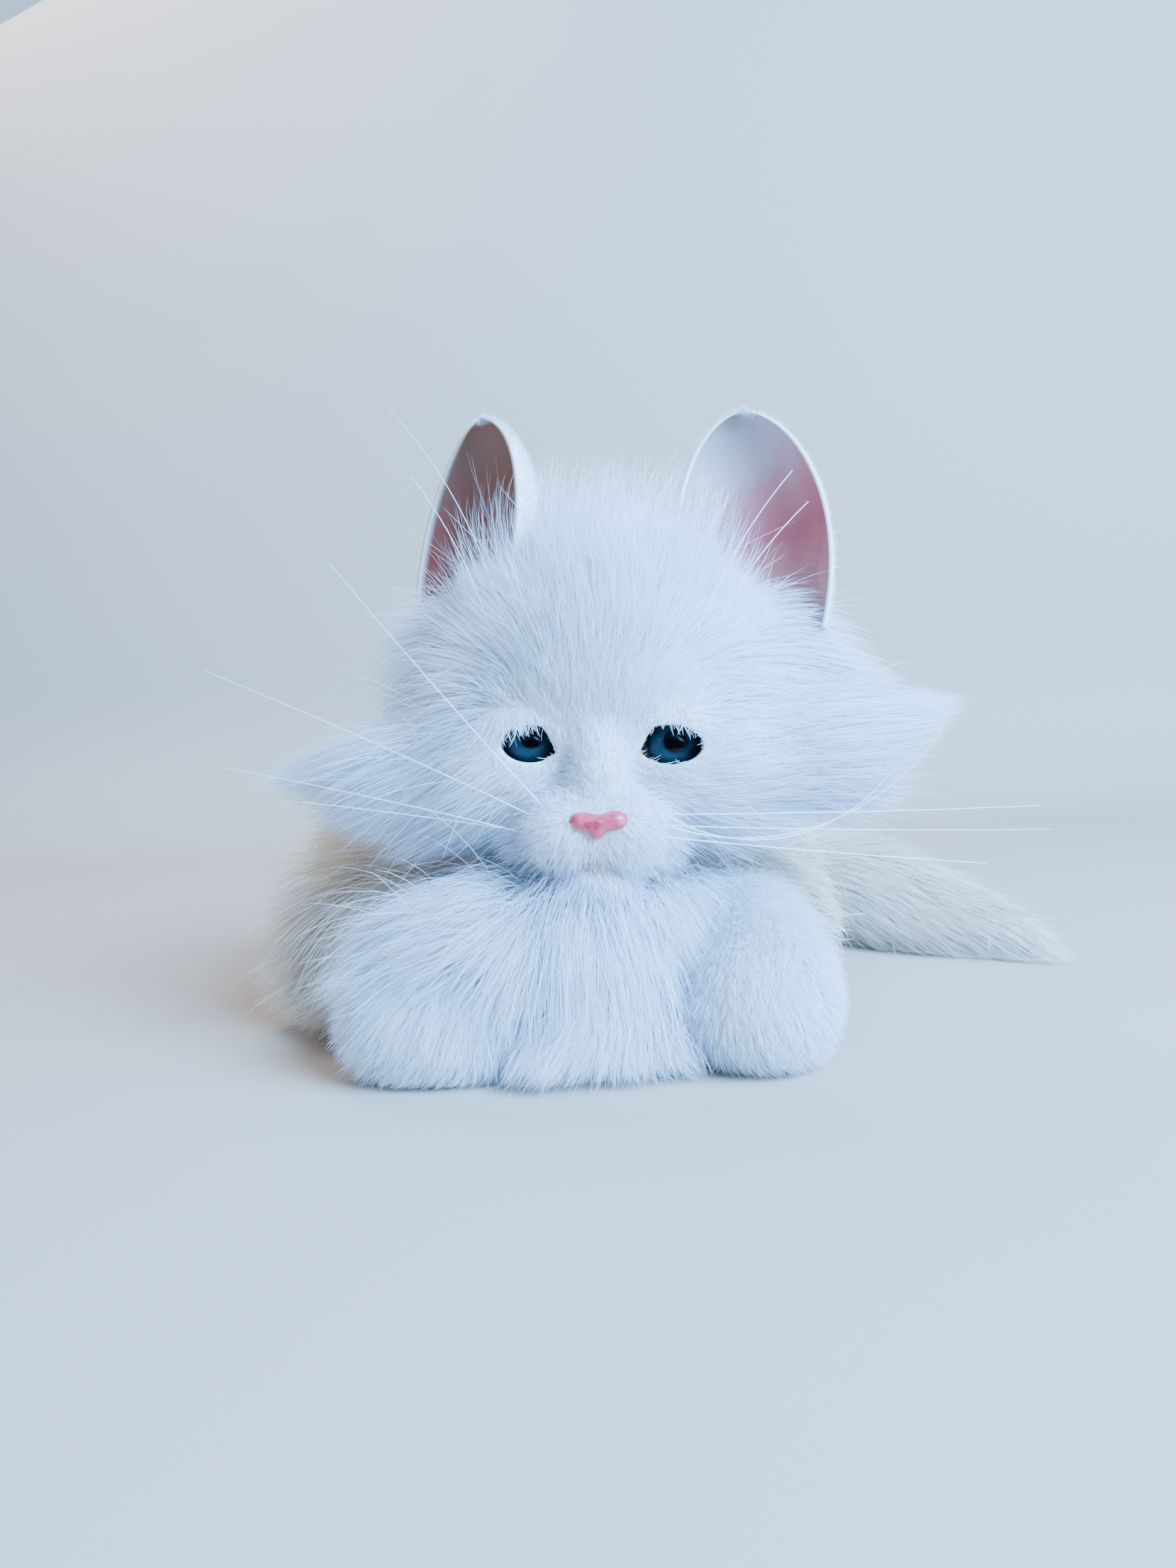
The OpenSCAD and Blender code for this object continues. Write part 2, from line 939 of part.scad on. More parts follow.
module head_plush() {
    color("whitesmoke")
        in_head()
            difference() {
                union() {
                    translate(skull_pos)
                        sphere(r = skull_fur_r);
                    translate(muzzle_pos)
                        sphere(r = muzzle_r);
                    stuffed([
                        [-20, -16, 18, 26],
                        [-64, -20, 6, 15],
                        [-cheek_reach_left, -16, 6, 4],
                        [-78, -14, -6, 6]
                    ]);
                    stuffed([
                        [20, -16, 18, 26],
                        [70, -14, 12, 15],
                        [cheek_reach_right, -8, 22, 4],
                        [98, -10, 2, 7]
                    ]);
                }
                translate(skull_pos)
                    sphere(r = skull_r + air_gap);
                translate(muzzle_pos)
                    sphere(r = muzzle_r - 5 + air_gap);
                sockets(socket_r);
                translate([0, 0, -FAR])
                    cylinder(r = 24, h = FAR);
                block([-18, -FAR, -FAR], [18, 0, mouth_z]);
                block([-15, -56, -FAR], [15, 0, jaw_pos[2] + 5]);
            }
}

module chin_plush() {
    color("whitesmoke")
        in_head()
            difference() {
                stuffed([[-7, -54, -20, 5], [7, -54, -20, 5], [0, -60, -20, 5], [0, -40, -20, 5]]);
                block([-FAR, -FAR, mouth_z - 3.2], [FAR, FAR, FAR]);
            }
}

// A touch plunger with its lower flange, whose top is at z = 0
module plunger() {
    cylinder_below(plunger_r, 0, 6);
    cylinder_below(plunger_r + 2, 3, 5);
}

// A disc between two depths below z = 0
module cylinder_below(r, from, to) {
    translate([0, 0, -to])
        cylinder(r = r, h = to - from);
}

// The cup behind a touch plunger, which leaves it room to travel; rim is the depth where it meets the shell
module plunger_cup(rim) {
    difference() {
        cylinder_below(plunger_r + 4, rim, 12);
        cylinder_below(plunger_r + 2 + air_gap, 0, 6 + plunger_travel + air_gap);
    }
}

module head_touch_plunger() {
    color("dimgray")
        in_head()
            translate([head_touch[0], head_touch[1], skull_pos[2] + skull_r - 1])
                plunger();
}

module head_touch_housing() {
    color("dimgray")
        in_head()
            translate([head_touch[0], head_touch[1], skull_pos[2] + skull_r - 1])
                plunger_cup(2.6);
}

module back_touch_plunger() {
    color("dimgray")
        translate([back_touch[0], back_touch[1], rear_top_z])
            plunger();
}

module back_touch_housing() {
    color("dimgray")
        translate([back_touch[0], back_touch[1], rear_top_z])
            plunger_cup(chassis_wall);
}

// ---------------------------------------------------------------- body plush

module body_plush() {
    color("whitesmoke")
        difference() {
            above_floor()
                stuffed([
                    [-58, 0, 26, 28],
                    [58, 0, 26, 28],
                    [-72, 62, 36, haunch_r],
                    [72, 62, 36, haunch_r],
                    [-30, 92, 46, 32],
                    [30, 92, 46, 32],
                    [-34, 24, 44, 30],
                    [34, 24, 44, 30]
                ]);
            upper_form(-air_gap, -CUT);
            in_head()
                translate(skull_pos)
                    sphere(r = skull_fur_r + 5);
            translate([neck_pos[0], neck_pos[1], 0])
                cylinder(r = 18, h = FAR);
            block([-FAR, -FAR, -CUT], [FAR, -26.5, FAR]);
            translate([0, leg_axis[1], leg_axis[2]])
                rod_x(0, FAR, 8);
            block([37, 84, 6], [FAR, FAR, tail_room_z]);
            translate([106, 106, -CUT])
                cylinder(r = 37, h = tail_room_z + CUT);
        }
}

module chest_plush() {
    color("whitesmoke")
        difference() {
            above_floor()
                stuffed([
                    [-10, -74, 12, 12],
                    [12, -74, 12, 12],
                    [-12, -70, 32, 11],
                    [14, -70, 32, 11],
                    [2, -58, 30, 18]
                ]);
            block([-FAR, chassis_y[0] - air_gap, -CUT], [FAR, FAR, front_top_z + air_gap]);
            block([-FAR, -44, -CUT], [FAR, FAR, FAR]);
            in_head()
                translate(skull_pos)
                    sphere(r = skull_fur_r + 5);
        }
}

// A front leg: an upper arm that runs down into a round paw
module leg_form(side, paw) {
    stuffed([
        [paw[0], paw[1], paw[2], paw_r],
        [paw[0] - side * 2, paw[1] - 4, paw_r - 2, paw_r - 2],
        [side * 50, -44, 34, 15]
    ]);
}

module paw_left_plush() {
    color("whitesmoke")
        difference() {
            above_floor()
                leg_form(-1, paw_left);
            linear_extrude(height = rear_top_z)
                chassis_plan(-air_gap);
        }
}

module leg_plush() {
    color("whitesmoke")
        difference() {
            above_floor()
                leg_form(1, paw_right);
            linear_extrude(height = rear_top_z)
                for (y = [0, -leg_room])
                    translate([0, y])
                        chassis_plan(-2 * air_gap);
            leg_lever_form(air_gap);
            translate([0, leg_axis[1], leg_axis[2]])
                rod_x(0, leg_axle_x[1] + air_gap, leg_axle_r + air_gap);
        }
}

// The lever inside the moving leg, grown by a gap
module leg_lever_form(grow) {
    lever_x = [49, 53];
    drop = [-30, -16];
    translate([0, leg_axis[1], leg_axis[2]]) {
        rod_x(lever_x[0] - grow, lever_x[1] + grow, 6 + grow);
        rotate([atan2(drop[1], drop[0]) + 180, 0, 0])
            block([lever_x[0] - grow, -34 - grow, -3 - grow], [lever_x[1] + grow, 0, 3 + grow]);
    }
}

module leg_axle() {
    color("silver")
        translate([0, leg_axis[1], leg_axis[2]])
            difference() {
                rod_x(leg_axle_x[0], leg_axle_x[1], leg_axle_r);
                difference() {
                    rod_x(40, 41.2, leg_axle_r + CUT);
                    rod_x(39, 42, leg_axle_r - 0.8);
                }
            }
}

module leg_lever() {
    color("white")
        difference() {
            leg_lever_form(0);
            translate([0, leg_axis[1], leg_axis[2]])
                rod_x(0, FAR, leg_axle_r);
        }
}

module leg_clip() {
    color("silver")
        translate([0, leg_axis[1], leg_axis[2]])
            difference() {
                rod_x(40, 41.2, leg_axle_r + 2);
                rod_x(39, 42, leg_axle_r - 0.8);
                block([39, -2, -FAR], [42, 2, -2]);
            }
}

// ---------------------------------------------------------------- tail

module tail_bracket() {
    color("white")
        difference() {
            union() {
                for (plate = tail_plate_z)
                    block([40, chassis_y[1], plate[0]], [54, tail_pivot[1] + 6, plate[1]]);
                block([38, chassis_y[1], 10], [56, chassis_y[1] + 2, 32]);
            }
            translate([tail_pivot[0], tail_pivot[1], 0])
                cylinder(r = tail_pin_r, h = FAR);
        }
}

module tail_pin() {
    color("silver")
        translate([tail_pivot[0], tail_pivot[1], 0]) {
            translate([0, 0, 12])
                cylinder(r = tail_pin_r, h = 18);
            translate([0, 0, 30])
                cylinder(r = tail_pin_r + 1, h = 1);
        }
}

// A point, with its radius, on a smooth curve through marks; t runs over the marks' numbers
function on_curve(marks, t) = let (
    i = min(floor(t), len(marks) - 2),
    u = t - i,
    p0 = marks[max(i - 1, 0)],
    p1 = marks[i],
    p2 = marks[i + 1],
    p3 = marks[min(i + 2, len(marks) - 1)]
) p1 + u / 2 * (p2 - p0 + u * (2 * p0 - 5 * p1 + 4 * p2 - p3 + u * (3 * p1 - p0 - 3 * p2 + p3)));

// The jointed arm inside the tail, grown by a gap
module tail_core_form(grow) {
    mid_z = 21;
    translate([tail_pivot[0], tail_pivot[1], mid_z]) {
        translate([0, 0, -5.5])
            cylinder(r = tail_core_r + grow, h = 11);
        rod_x(0, 60 + grow, 3 + grow);
    }
    translate([tail_pivot[0] + 60, tail_pivot[1], mid_z])
        rotate([0, 0, -36])
            rod_x(-2, 30 + grow, 3 + grow);
}

module tail_core() {
    color("white")
        difference() {
            tail_core_form(0);
            translate([tail_pivot[0], tail_pivot[1], 0])
                cylinder(r = tail_pin_r + running_gap, h = FAR);
        }
}

module tail_plush() {
    color("whitesmoke")
        difference() {
            above_floor()
                union()
                    for (i = [0 : tail_steps - 1])
                        stuffed([
                            on_curve(tail_marks, i * (len(tail_marks) - 1) / tail_steps),
                            on_curve(tail_marks, (i + 1) * (len(tail_marks) - 1) / tail_steps)
                        ]);
            tail_core_form(air_gap);
        }
}

chassis_lower();
chassis_upper();
chassis_screws();
battery_door();
battery_door_screw();
battery_cells();
battery_contacts();
battery_springs();
power_switch_body();
power_switch_knob();
speaker_frame();
speaker_cone();
circuit_board();
circuit_chips();
drive_motor();
motor_shaft();
motor_pinion();
reduction_gear();
crank_gear();
gear_axles();
gear_plates();
gear_spacers();
neck_bush();
neck_post();
neck_clip();
neck_pin();
head_bracket();
head_shell_front();
head_shell_rear();
head_screws();
eye_frame();
eye_left();
eye_right();
eyelid_left();
eyelid_right();
jaw();
jaw_pin();
nose();
ear_left();
ear_right();
whiskers_left();
whiskers_right();
brow_whiskers();
head_plush();
chin_plush();
head_touch_plunger();
head_touch_housing();
back_touch_plunger();
back_touch_housing();
body_plush();
chest_plush();
paw_left_plush();
leg_axle();
leg_lever();
leg_clip();
leg_plush();
tail_bracket();
tail_pin();
tail_core();
tail_plush();
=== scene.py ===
"""A lying long-haired toy cat: fur, ears, eyes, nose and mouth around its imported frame.

Shapes are worked out in millimetres, in one of two sets of axes: the pet's own, and the head's, whose
origin is the neck joint and whose axes are those of the lid hinge and the head's touch plunger.
"""
import json
import math

import bmesh
import bpy
import numpy as np
from mathutils import Matrix, Vector


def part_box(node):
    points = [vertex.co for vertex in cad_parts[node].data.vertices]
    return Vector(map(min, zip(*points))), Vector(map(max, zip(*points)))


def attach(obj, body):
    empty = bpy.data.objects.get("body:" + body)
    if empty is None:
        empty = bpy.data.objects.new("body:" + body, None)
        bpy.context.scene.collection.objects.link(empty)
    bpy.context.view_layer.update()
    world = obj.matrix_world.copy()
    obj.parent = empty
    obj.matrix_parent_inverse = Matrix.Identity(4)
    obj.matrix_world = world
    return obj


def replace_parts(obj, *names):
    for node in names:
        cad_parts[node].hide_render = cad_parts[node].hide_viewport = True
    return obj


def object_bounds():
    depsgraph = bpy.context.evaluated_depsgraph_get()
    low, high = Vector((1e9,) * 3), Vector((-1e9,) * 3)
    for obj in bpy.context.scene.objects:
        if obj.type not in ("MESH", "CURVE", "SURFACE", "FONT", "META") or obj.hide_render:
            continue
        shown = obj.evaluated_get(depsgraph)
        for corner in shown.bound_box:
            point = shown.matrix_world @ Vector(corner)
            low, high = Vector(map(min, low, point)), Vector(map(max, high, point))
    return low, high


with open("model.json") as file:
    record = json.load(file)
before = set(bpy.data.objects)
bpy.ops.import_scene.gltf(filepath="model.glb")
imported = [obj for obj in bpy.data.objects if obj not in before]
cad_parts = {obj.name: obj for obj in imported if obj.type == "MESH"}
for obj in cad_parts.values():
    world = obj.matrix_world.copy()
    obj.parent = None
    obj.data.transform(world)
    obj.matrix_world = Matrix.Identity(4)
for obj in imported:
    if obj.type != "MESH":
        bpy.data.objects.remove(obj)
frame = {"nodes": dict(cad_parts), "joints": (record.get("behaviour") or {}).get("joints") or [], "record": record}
CAD_BOX = [list(corner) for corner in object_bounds()]

MM = 0.001
JOINTS = {joint["name"]: joint for joint in frame["joints"]}
SLOTS = {part["node"]: part["material_slot"] for part in frame["record"]["subparts"]}

# ------------------------------------------------------------------ axes


def unit(v):
    """Vectors of length one, along the last axis."""
    v = np.asarray(v, float)
    return v / np.maximum(np.linalg.norm(v, axis=-1, keepdims=True), 1e-9)


def head_axes():
    """The head's turn, as a matrix whose columns are its own X, Y and Z."""
    x = unit(JOINTS["lid_left_close"]["axis"])
    z = -unit(JOINTS["head_touch_press"]["axis"])
    return np.column_stack([x, unit(np.cross(z, x)), z])


PET = (np.zeros(3), np.eye(3))
HEAD = (np.array(JOINTS["neck_pan"]["pos_m"]) / MM, head_axes())


def place(points, axes):
    """Millimetres in a set of axes to metres in the frame."""
    origin, turn = axes
    return (np.asarray(points, float) @ turn.T + origin) * MM


def inside(points, axes):
    """Metres in the frame to millimetres in a set of axes."""
    origin, turn = axes
    return (np.asarray(points, float) / MM - origin) @ turn


def in_scene(name, data):
    """A new object in the scene."""
    made = bpy.data.objects.new(name, data)
    bpy.context.scene.collection.objects.link(made)
    return made


# ------------------------------------------------------------------ camera, stage and light

CAMERA_AT = (0.0, -0.426, 0.116)
CAMERA_PITCH = math.radians(-5.0)
CAMERA_ROLL = math.radians(-2.8)
CAMERA_SIDE = 36.0       # mm, the picture's long side behind the lens
CAMERA_LENS = 28.3       # mm
STAGE_COLOUR = (0.54, 0.43, 0.34)
WORLD_COLOUR = (0.46, 0.65, 1.0)
WORLD_STRENGTH = 0.40


def make_camera():
    """The photograph's view: from just over the floor, a little down, with the frame a little turned."""
    data = bpy.data.cameras.new("camera")
    data.sensor_fit = "VERTICAL"
    data.sensor_height = CAMERA_SIDE
    data.lens = CAMERA_LENS
    data.clip_start = 0.01
    camera = in_scene("camera", data)
    look = Matrix.Rotation(math.radians(90) + CAMERA_PITCH, 4, "X")
    camera.matrix_world = Matrix.Translation(CAMERA_AT) @ look @ Matrix.Rotation(CAMERA_ROLL, 4, "Z")
    bpy.context.scene.camera = camera


def make_stage():
    """A floor that bends up into a wall behind the pet."""
    half_width, front, back, rise = 1.6, 1.15, 0.55, 1.2
    bend, bend_steps = 0.12, 8
    points = [(-front, 0.0), (back - bend, 0.0)]
    for i in range(1, bend_steps + 1):
        a = i / bend_steps * math.pi / 2
        points.append((back - bend + bend * math.sin(a), bend - bend * math.cos(a)))
    points.append((back, rise))
    verts = [(x, y, z) for y, z in points for x in (-half_width, half_width)]
    faces = [(2 * i, 2 * i + 1, 2 * i + 3, 2 * i + 2) for i in range(len(points) - 1)]
    mesh = bpy.data.meshes.new("stage")
    mesh.from_pydata(verts, [], faces)
    smooth(mesh)
    n = Nodes("stage")
    n.shader.inputs["Base Color"].default_value = (*STAGE_COLOUR, 1)
    n.set(rough=0.75)
    mesh.materials.append(n.mat)
    in_scene("stage", mesh)


def area_light(name, at, toward, size, power, colour):
    """A round soft light, in metres and watts."""
    data = bpy.data.lights.new(name, "AREA")
    data.shape = "DISK"
    data.size = size
    data.energy = power
    data.color = colour
    lamp = in_scene(name, data)
    lamp.location = at
    lamp.rotation_euler = (Vector(toward) - Vector(at)).to_track_quat("-Z", "Y").to_euler()


def make_lights():
    """A cool key like the window's from the right, a weak warm fill from the left, and a rim from behind."""
    middle = (0.02, -0.02, 0.08)
    area_light("key", (0.72, -0.72, 0.78), middle, 0.9, 138.0, (0.237, 0.518, 1.0))
    area_light("fill", (-0.80, -0.55, 0.40), middle, 0.8, 1.8, (1.0, 0.80, 0.60))
    area_light("back", (-0.30, 0.45, 0.75), middle, 0.5, 6.0, (1.0, 0.95, 0.88))
    world = bpy.data.worlds.new("studio")
    world.use_nodes = True
    sky = world.node_tree.nodes["Background"].inputs
    sky["Color"].default_value = (*WORLD_COLOUR, 1)
    sky["Strength"].default_value = WORLD_STRENGTH
    bpy.context.scene.world = world


# ------------------------------------------------------------------ materials

class Nodes:
    """A small helper around one material's node tree."""

    SETTINGS = {"rough": "Roughness", "coat": "Coat Weight", "coat_rough": "Coat Roughness", "metal": "Metallic",
                "sub": "Subsurface Weight", "sub_scale": "Subsurface Scale", "specular": "Specular IOR Level"}

    def __init__(self, name):
        self.mat = bpy.data.materials.new(name)
        self.mat.use_nodes = True
        self.tree = self.mat.node_tree
        self.shader = self.tree.nodes["Principled BSDF"]
        self.out = self.tree.nodes["Material Output"]

    def add(self, kind, **values):
        """A new node; each value goes to the input of that name, or else to the node's own setting."""
        node = self.tree.nodes.new(kind)
        for key, value in values.items():
            if key in node.inputs:
                node.inputs[key].default_value = value
            else:
                setattr(node, key, value)
        return node

    def link(self, a, b):
        self.tree.links.new(a, b)

    def put(self, socket, value):
        """Links another node's output to an input, or sets the input's value."""
        if isinstance(value, bpy.types.NodeSocket):
            self.link(value, socket)
        else:
            socket.default_value = value

    def calc(self, kind, operation, *values):
        """The outputs of a math node, whose inputs take the values in order."""
        node = self.add(kind, operation=operation)
        for socket, value in zip(node.inputs, values):
            self.put(socket, value)
        return node.outputs

    def set(self, **values):
        """Sets inputs of the main shader."""
        for key, value in values.items():
            self.shader.inputs[self.SETTINGS[key]].default_value = value

    def noise(self, scale, detail=3.0, roughness=0.5):
        texture = self.add("ShaderNodeTexNoise", Scale=scale, Detail=detail, Roughness=roughness)
        self.link(self.add("ShaderNodeTexCoord").outputs["Object"], texture.inputs["Vector"])
        return texture.outputs["Fac"]

    def ramp(self, source, stops):
        """A colour that follows the source through stops of (place, colour)."""
        ramp = self.add("ShaderNodeValToRGB")
        line = ramp.color_ramp
        line.elements[0].position, line.elements[-1].position = stops[0][0], stops[-1][0]
        line.elements[0].color, line.elements[-1].color = (*stops[0][1], 1), (*stops[-1][1], 1)
        for position, colour in stops[1:-1]:
            line.elements.new(position).color = (*colour, 1)
        self.link(source, ramp.inputs["Fac"])
        return ramp.outputs["Color"]

    def mix(self, share, a, b, blend="MIX"):
        """The colours a and b mixed; each of the three may be another node's output."""
        node = self.add("ShaderNodeMix", data_type="RGBA", blend_type=blend)
        factor, first, second = (node.inputs[i] for i in (0, 6, 7))
        for socket, value in ((factor, share), (first, a), (second, b)):
            self.put(socket, (*value, 1) if isinstance(value, tuple) else value)
        return node.outputs[2]

    def colour(self, source):
        self.link(source, self.shader.inputs["Base Color"])

    def bump(self, source, strength, distance):
        node = self.add("ShaderNodeBump", Strength=strength, Distance=distance)
        self.link(source, node.inputs["Height"])
        self.link(node.outputs["Normal"], self.shader.inputs["Normal"])

    def rough_by(self, source, low, high):
        """Roughness that follows the source from low to high."""
        node = self.add("ShaderNodeMapRange")
        node.inputs["To Min"].default_value = low
        node.inputs["To Max"].default_value = high
        self.link(source, node.inputs["Value"])
        self.link(node.outputs["Result"], self.shader.inputs["Roughness"])


def fur_material(name, root, tip, cool, warm, through=0.35):
    """Pile: each strand has its own tint along U, and goes from its root to its tip along V; the root colour is
    darker than the tip, as painted shade deep in the pile.

    Through is the share of the light that passes through a strand.
    """
    n = Nodes(name)
    split = n.add("ShaderNodeSeparateXYZ")
    n.link(n.add("ShaderNodeUVMap", uv_map="OFBake").outputs["UV"], split.inputs["Vector"])
    tint = n.ramp(split.outputs["X"], [(0.0, warm), (0.35, tip), (0.7, tip), (1.0, cool)])
    # painted shade: the darker root colour fades out along each strand
    along = n.ramp(split.outputs["Y"], [(0.0, (1, 1, 1)), (0.45, (0.25, 0.25, 0.25)), (1.0, (0, 0, 0))])
    n.colour(n.mix(along, tint, root))
    n.set(rough=0.5, specular=0.35)
    light = n.add("ShaderNodeBsdfTranslucent")
    n.link(n.shader.inputs["Base Color"].links[0].from_socket, light.inputs["Color"])
    both = n.add("ShaderNodeMixShader", Fac=through)
    n.link(n.shader.outputs["BSDF"], both.inputs[1])
    n.link(light.outputs["BSDF"], both.inputs[2])
    n.link(both.outputs["Shader"], n.out.inputs["Surface"])
    return n.mat


def backing_material():
    """The knitted cloth under the pile."""
    n = Nodes("fur_backing")
    n.colour(n.ramp(n.noise(900, detail=4), [(0.3, (0.62, 0.60, 0.56)), (0.7, (0.74, 0.73, 0.71))]))
    n.bump(n.noise(2600), 0.6, 0.0004)
    n.set(rough=0.95)
    return n.mat


def plastic(name, colour, rough, grain=1400, bump=0.08):
    """Moulded plastic, a little uneven in colour, grain and roughness."""
    n = Nodes(name)
    n.colour(n.ramp(n.noise(60, detail=4), [(0.3, tuple(c * 0.92 for c in colour)), (0.7, colour)]))
    n.bump(n.noise(grain, detail=2), bump, 0.0002)
    n.rough_by(n.noise(220), rough - 0.06, rough + 0.08)
    return n.mat


def metal(name, colour, rough):
    """Bare metal with worn and dull places."""
    n = Nodes(name)
    n.colour(n.ramp(n.noise(300, detail=5), [(0.3, tuple(c * 0.85 for c in colour)), (0.7, colour)]))
    n.rough_by(n.noise(900, detail=4), rough - 0.08, rough + 0.12)
    n.set(metal=1.0)
    return n.mat


def gloss(name, dark, light, rough=0.25, coat=0.6, bump=0.1, scale=150):
    """A lacquered or rubbery surface, mottled from dark to light at the given scale."""
    n = Nodes(name)
    n.colour(n.ramp(n.noise(scale, detail=4), [(0.3, dark), (0.7, light)]))
    n.bump(n.noise(1500), bump, 0.0002)
    n.set(rough=rough, coat=coat, coat_rough=0.08)
    return n.mat


def bristle_material():
    """Clear white nylon."""
    n = Nodes("bristle")
    n.colour(n.ramp(n.noise(400), [(0.3, (0.86, 0.88, 0.92)), (0.7, (0.96, 0.97, 1.0))]))
    n.set(rough=0.3, coat=0.3, specular=0.6)
    return n.mat


# ------------------------------------------------------------------ meshes

def smooth(mesh):
    mesh.polygons.foreach_set("use_smooth", [True] * len(mesh.polygons))


def add_piece(name, mesh, body, material, matrix=Matrix()):
    """An object made of a mesh, with one material, that rides on a body."""
    mesh.materials.clear()
    mesh.materials.append(material)
    piece = in_scene(name, mesh)
    piece.matrix_world = matrix
    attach(piece, body)
    return piece


def add_mesh(name, verts, faces, body, material):
    """A smooth piece from points in metres and faces."""
    mesh = bpy.data.meshes.new(name)
    mesh.from_pydata([tuple(v) for v in verts], [], [tuple(f) for f in faces])
    mesh.validate()
    smooth(mesh)
    return add_piece(name, mesh, body, material)


def mesh_arrays(mesh):
    """A mesh's points, and its triangles as rows of three."""
    mesh.calc_loop_triangles()
    points = np.zeros(len(mesh.vertices) * 3)
    mesh.vertices.foreach_get("co", points)
    tris = np.zeros(len(mesh.loop_triangles) * 3, int)
    mesh.loop_triangles.foreach_get("vertices", tris)
    return points.reshape(-1, 3), tris.reshape(-1, 3)


class Skin:
    """A stuffed shape: a smooth union of ellipsoids, in millimetres; hollows are cut out of its mesh.

    A blob or a hollow is (middle, radii). Blend is how wide the joins between blobs are.
    """

    SLOPE_STEP = 0.4     # mm
    SWELL = 1.04         # the balls start this much larger, so the remeshed shape has no gaps between them
    SETTLE_STEPS = 6     # times that the remeshed points move onto the surface
    BALL_DETAIL = 4      # subdivisions of an icosphere

    def __init__(self, axes, blobs, hollows=(), blend=8.0, floor=None):
        self.axes = axes
        self.blobs = [(np.array(at, float), np.array(radii, float)) for at, radii in blobs]
        self.hollows = [(np.array(at, float), np.array(radii, float)) for at, radii in hollows]
        self.blend = blend
        self.floor = floor

    @staticmethod
    def ellipsoid(points, at, radii):
        scaled = (points - at) / radii
        size = np.linalg.norm(scaled, axis=1)
        slope = np.linalg.norm(scaled / radii, axis=1)
        return size * (size - 1) / np.maximum(slope, 1e-6)

    def distance(self, points):
        """About how far each point is outside the surface."""
        total = None
        for at, radii in self.blobs:
            d = self.ellipsoid(points, at, radii)
            if total is None:
                total = d
                continue
            h = np.clip(0.5 + 0.5 * (d - total) / self.blend, 0, 1)
            total = d * (1 - h) + total * h - self.blend * h * (1 - h)
        if self.floor is not None:
            total = np.maximum(total, self.floor - points[:, 2])
        return total

    def slope(self, points):
        """The outward direction at each point."""
        out = np.zeros_like(points)
        for axis in range(3):
            move = np.zeros(3)
            move[axis] = self.SLOPE_STEP
            out[:, axis] = self.distance(points + move) - self.distance(points - move)
        return unit(out)

    @classmethod
    def balls(cls, name, blobs, swell=1.0):
        """An object made of one ball for each blob."""
        bm = bmesh.new()
        for at, radii in blobs:
            made = bmesh.ops.create_icosphere(bm, subdivisions=cls.BALL_DETAIL, radius=1.0)
            bmesh.ops.scale(bm, vec=Vector(radii * swell), verts=made["verts"])
            bmesh.ops.translate(bm, vec=Vector(at), verts=made["verts"])
        mesh = bpy.data.meshes.new(name)
        bm.to_mesh(mesh)
        bm.free()
        return in_scene(name, mesh)

    @staticmethod
    def baked(holder):
        """The mesh of an object with its modifiers applied; the object is removed."""
        mesh = bpy.data.meshes.new_from_object(holder.evaluated_get(bpy.context.evaluated_depsgraph_get()))
        bpy.data.objects.remove(holder)
        return mesh

    def hollowed(self, name):
        """The mesh with the hollows cut out."""
        holder = in_scene(name, self.mesh(name))
        cutters = [self.balls(name, [blob]) for blob in self.hollows]
        for cutter in cutters:
            cut = holder.modifiers.new("cut", "BOOLEAN")
            cut.operation = "DIFFERENCE"
            cut.solver = "EXACT"
            cut.object = cutter
        mesh = self.baked(holder)
        for cutter in cutters:
            bpy.data.objects.remove(cutter)
        return mesh

    def mesh(self, name, voxel=2.4):
        """A closed mesh of the surface, in millimetres."""
        holder = self.balls(name, self.blobs, self.SWELL)
        remesh = holder.modifiers.new("remesh", "REMESH")
        remesh.mode = "VOXEL"
        remesh.voxel_size = voxel
        done = self.baked(holder)
        points, _ = mesh_arrays(done)
        for _ in range(self.SETTLE_STEPS):
            points -= self.slope(points) * self.distance(points)[:, None]
        if self.floor is not None:
            points[:, 2] = np.maximum(points[:, 2], self.floor)
        done.vertices.foreach_set("co", points.ravel())
        done.update()
        return done


def placed(mesh, axes):
    """A skin's mesh moved into the frame, in metres."""
    points, _ = mesh_arrays(mesh)
    mesh.vertices.foreach_set("co", place(points, axes).ravel())
    smooth(mesh)
    mesh.update()
    return mesh


def skin_piece(name, skin, body, node, material):
    """The cloth of a stuffed piece, in place of a node's plain solid."""
    mesh = skin.hollowed(name) if skin.hollows else skin.mesh(name)
    piece = add_piece(name, placed(mesh, skin.axes), body, material)
    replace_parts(piece, node)


# ------------------------------------------------------------------ fur

def roots_on(skin, mesh, count, rng):
    """Random places on a skin's mesh, evenly by area, with their outward directions."""
    points, tris = mesh_arrays(mesh)
    a, b, c = (points[tris[:, i]] for i in range(3))
    area = np.linalg.norm(np.cross(b - a, c - a), axis=1)
    chosen = rng.choice(len(tris), size=count, p=area / area.sum())
    u, v = rng.random((2, count))
    flip = u + v > 1
    u[flip], v[flip] = 1 - u[flip], 1 - v[flip]
    at = a[chosen] + (b - a)[chosen] * u[:, None] + (c - a)[chosen] * v[:, None]
    return at, skin.slope(at)


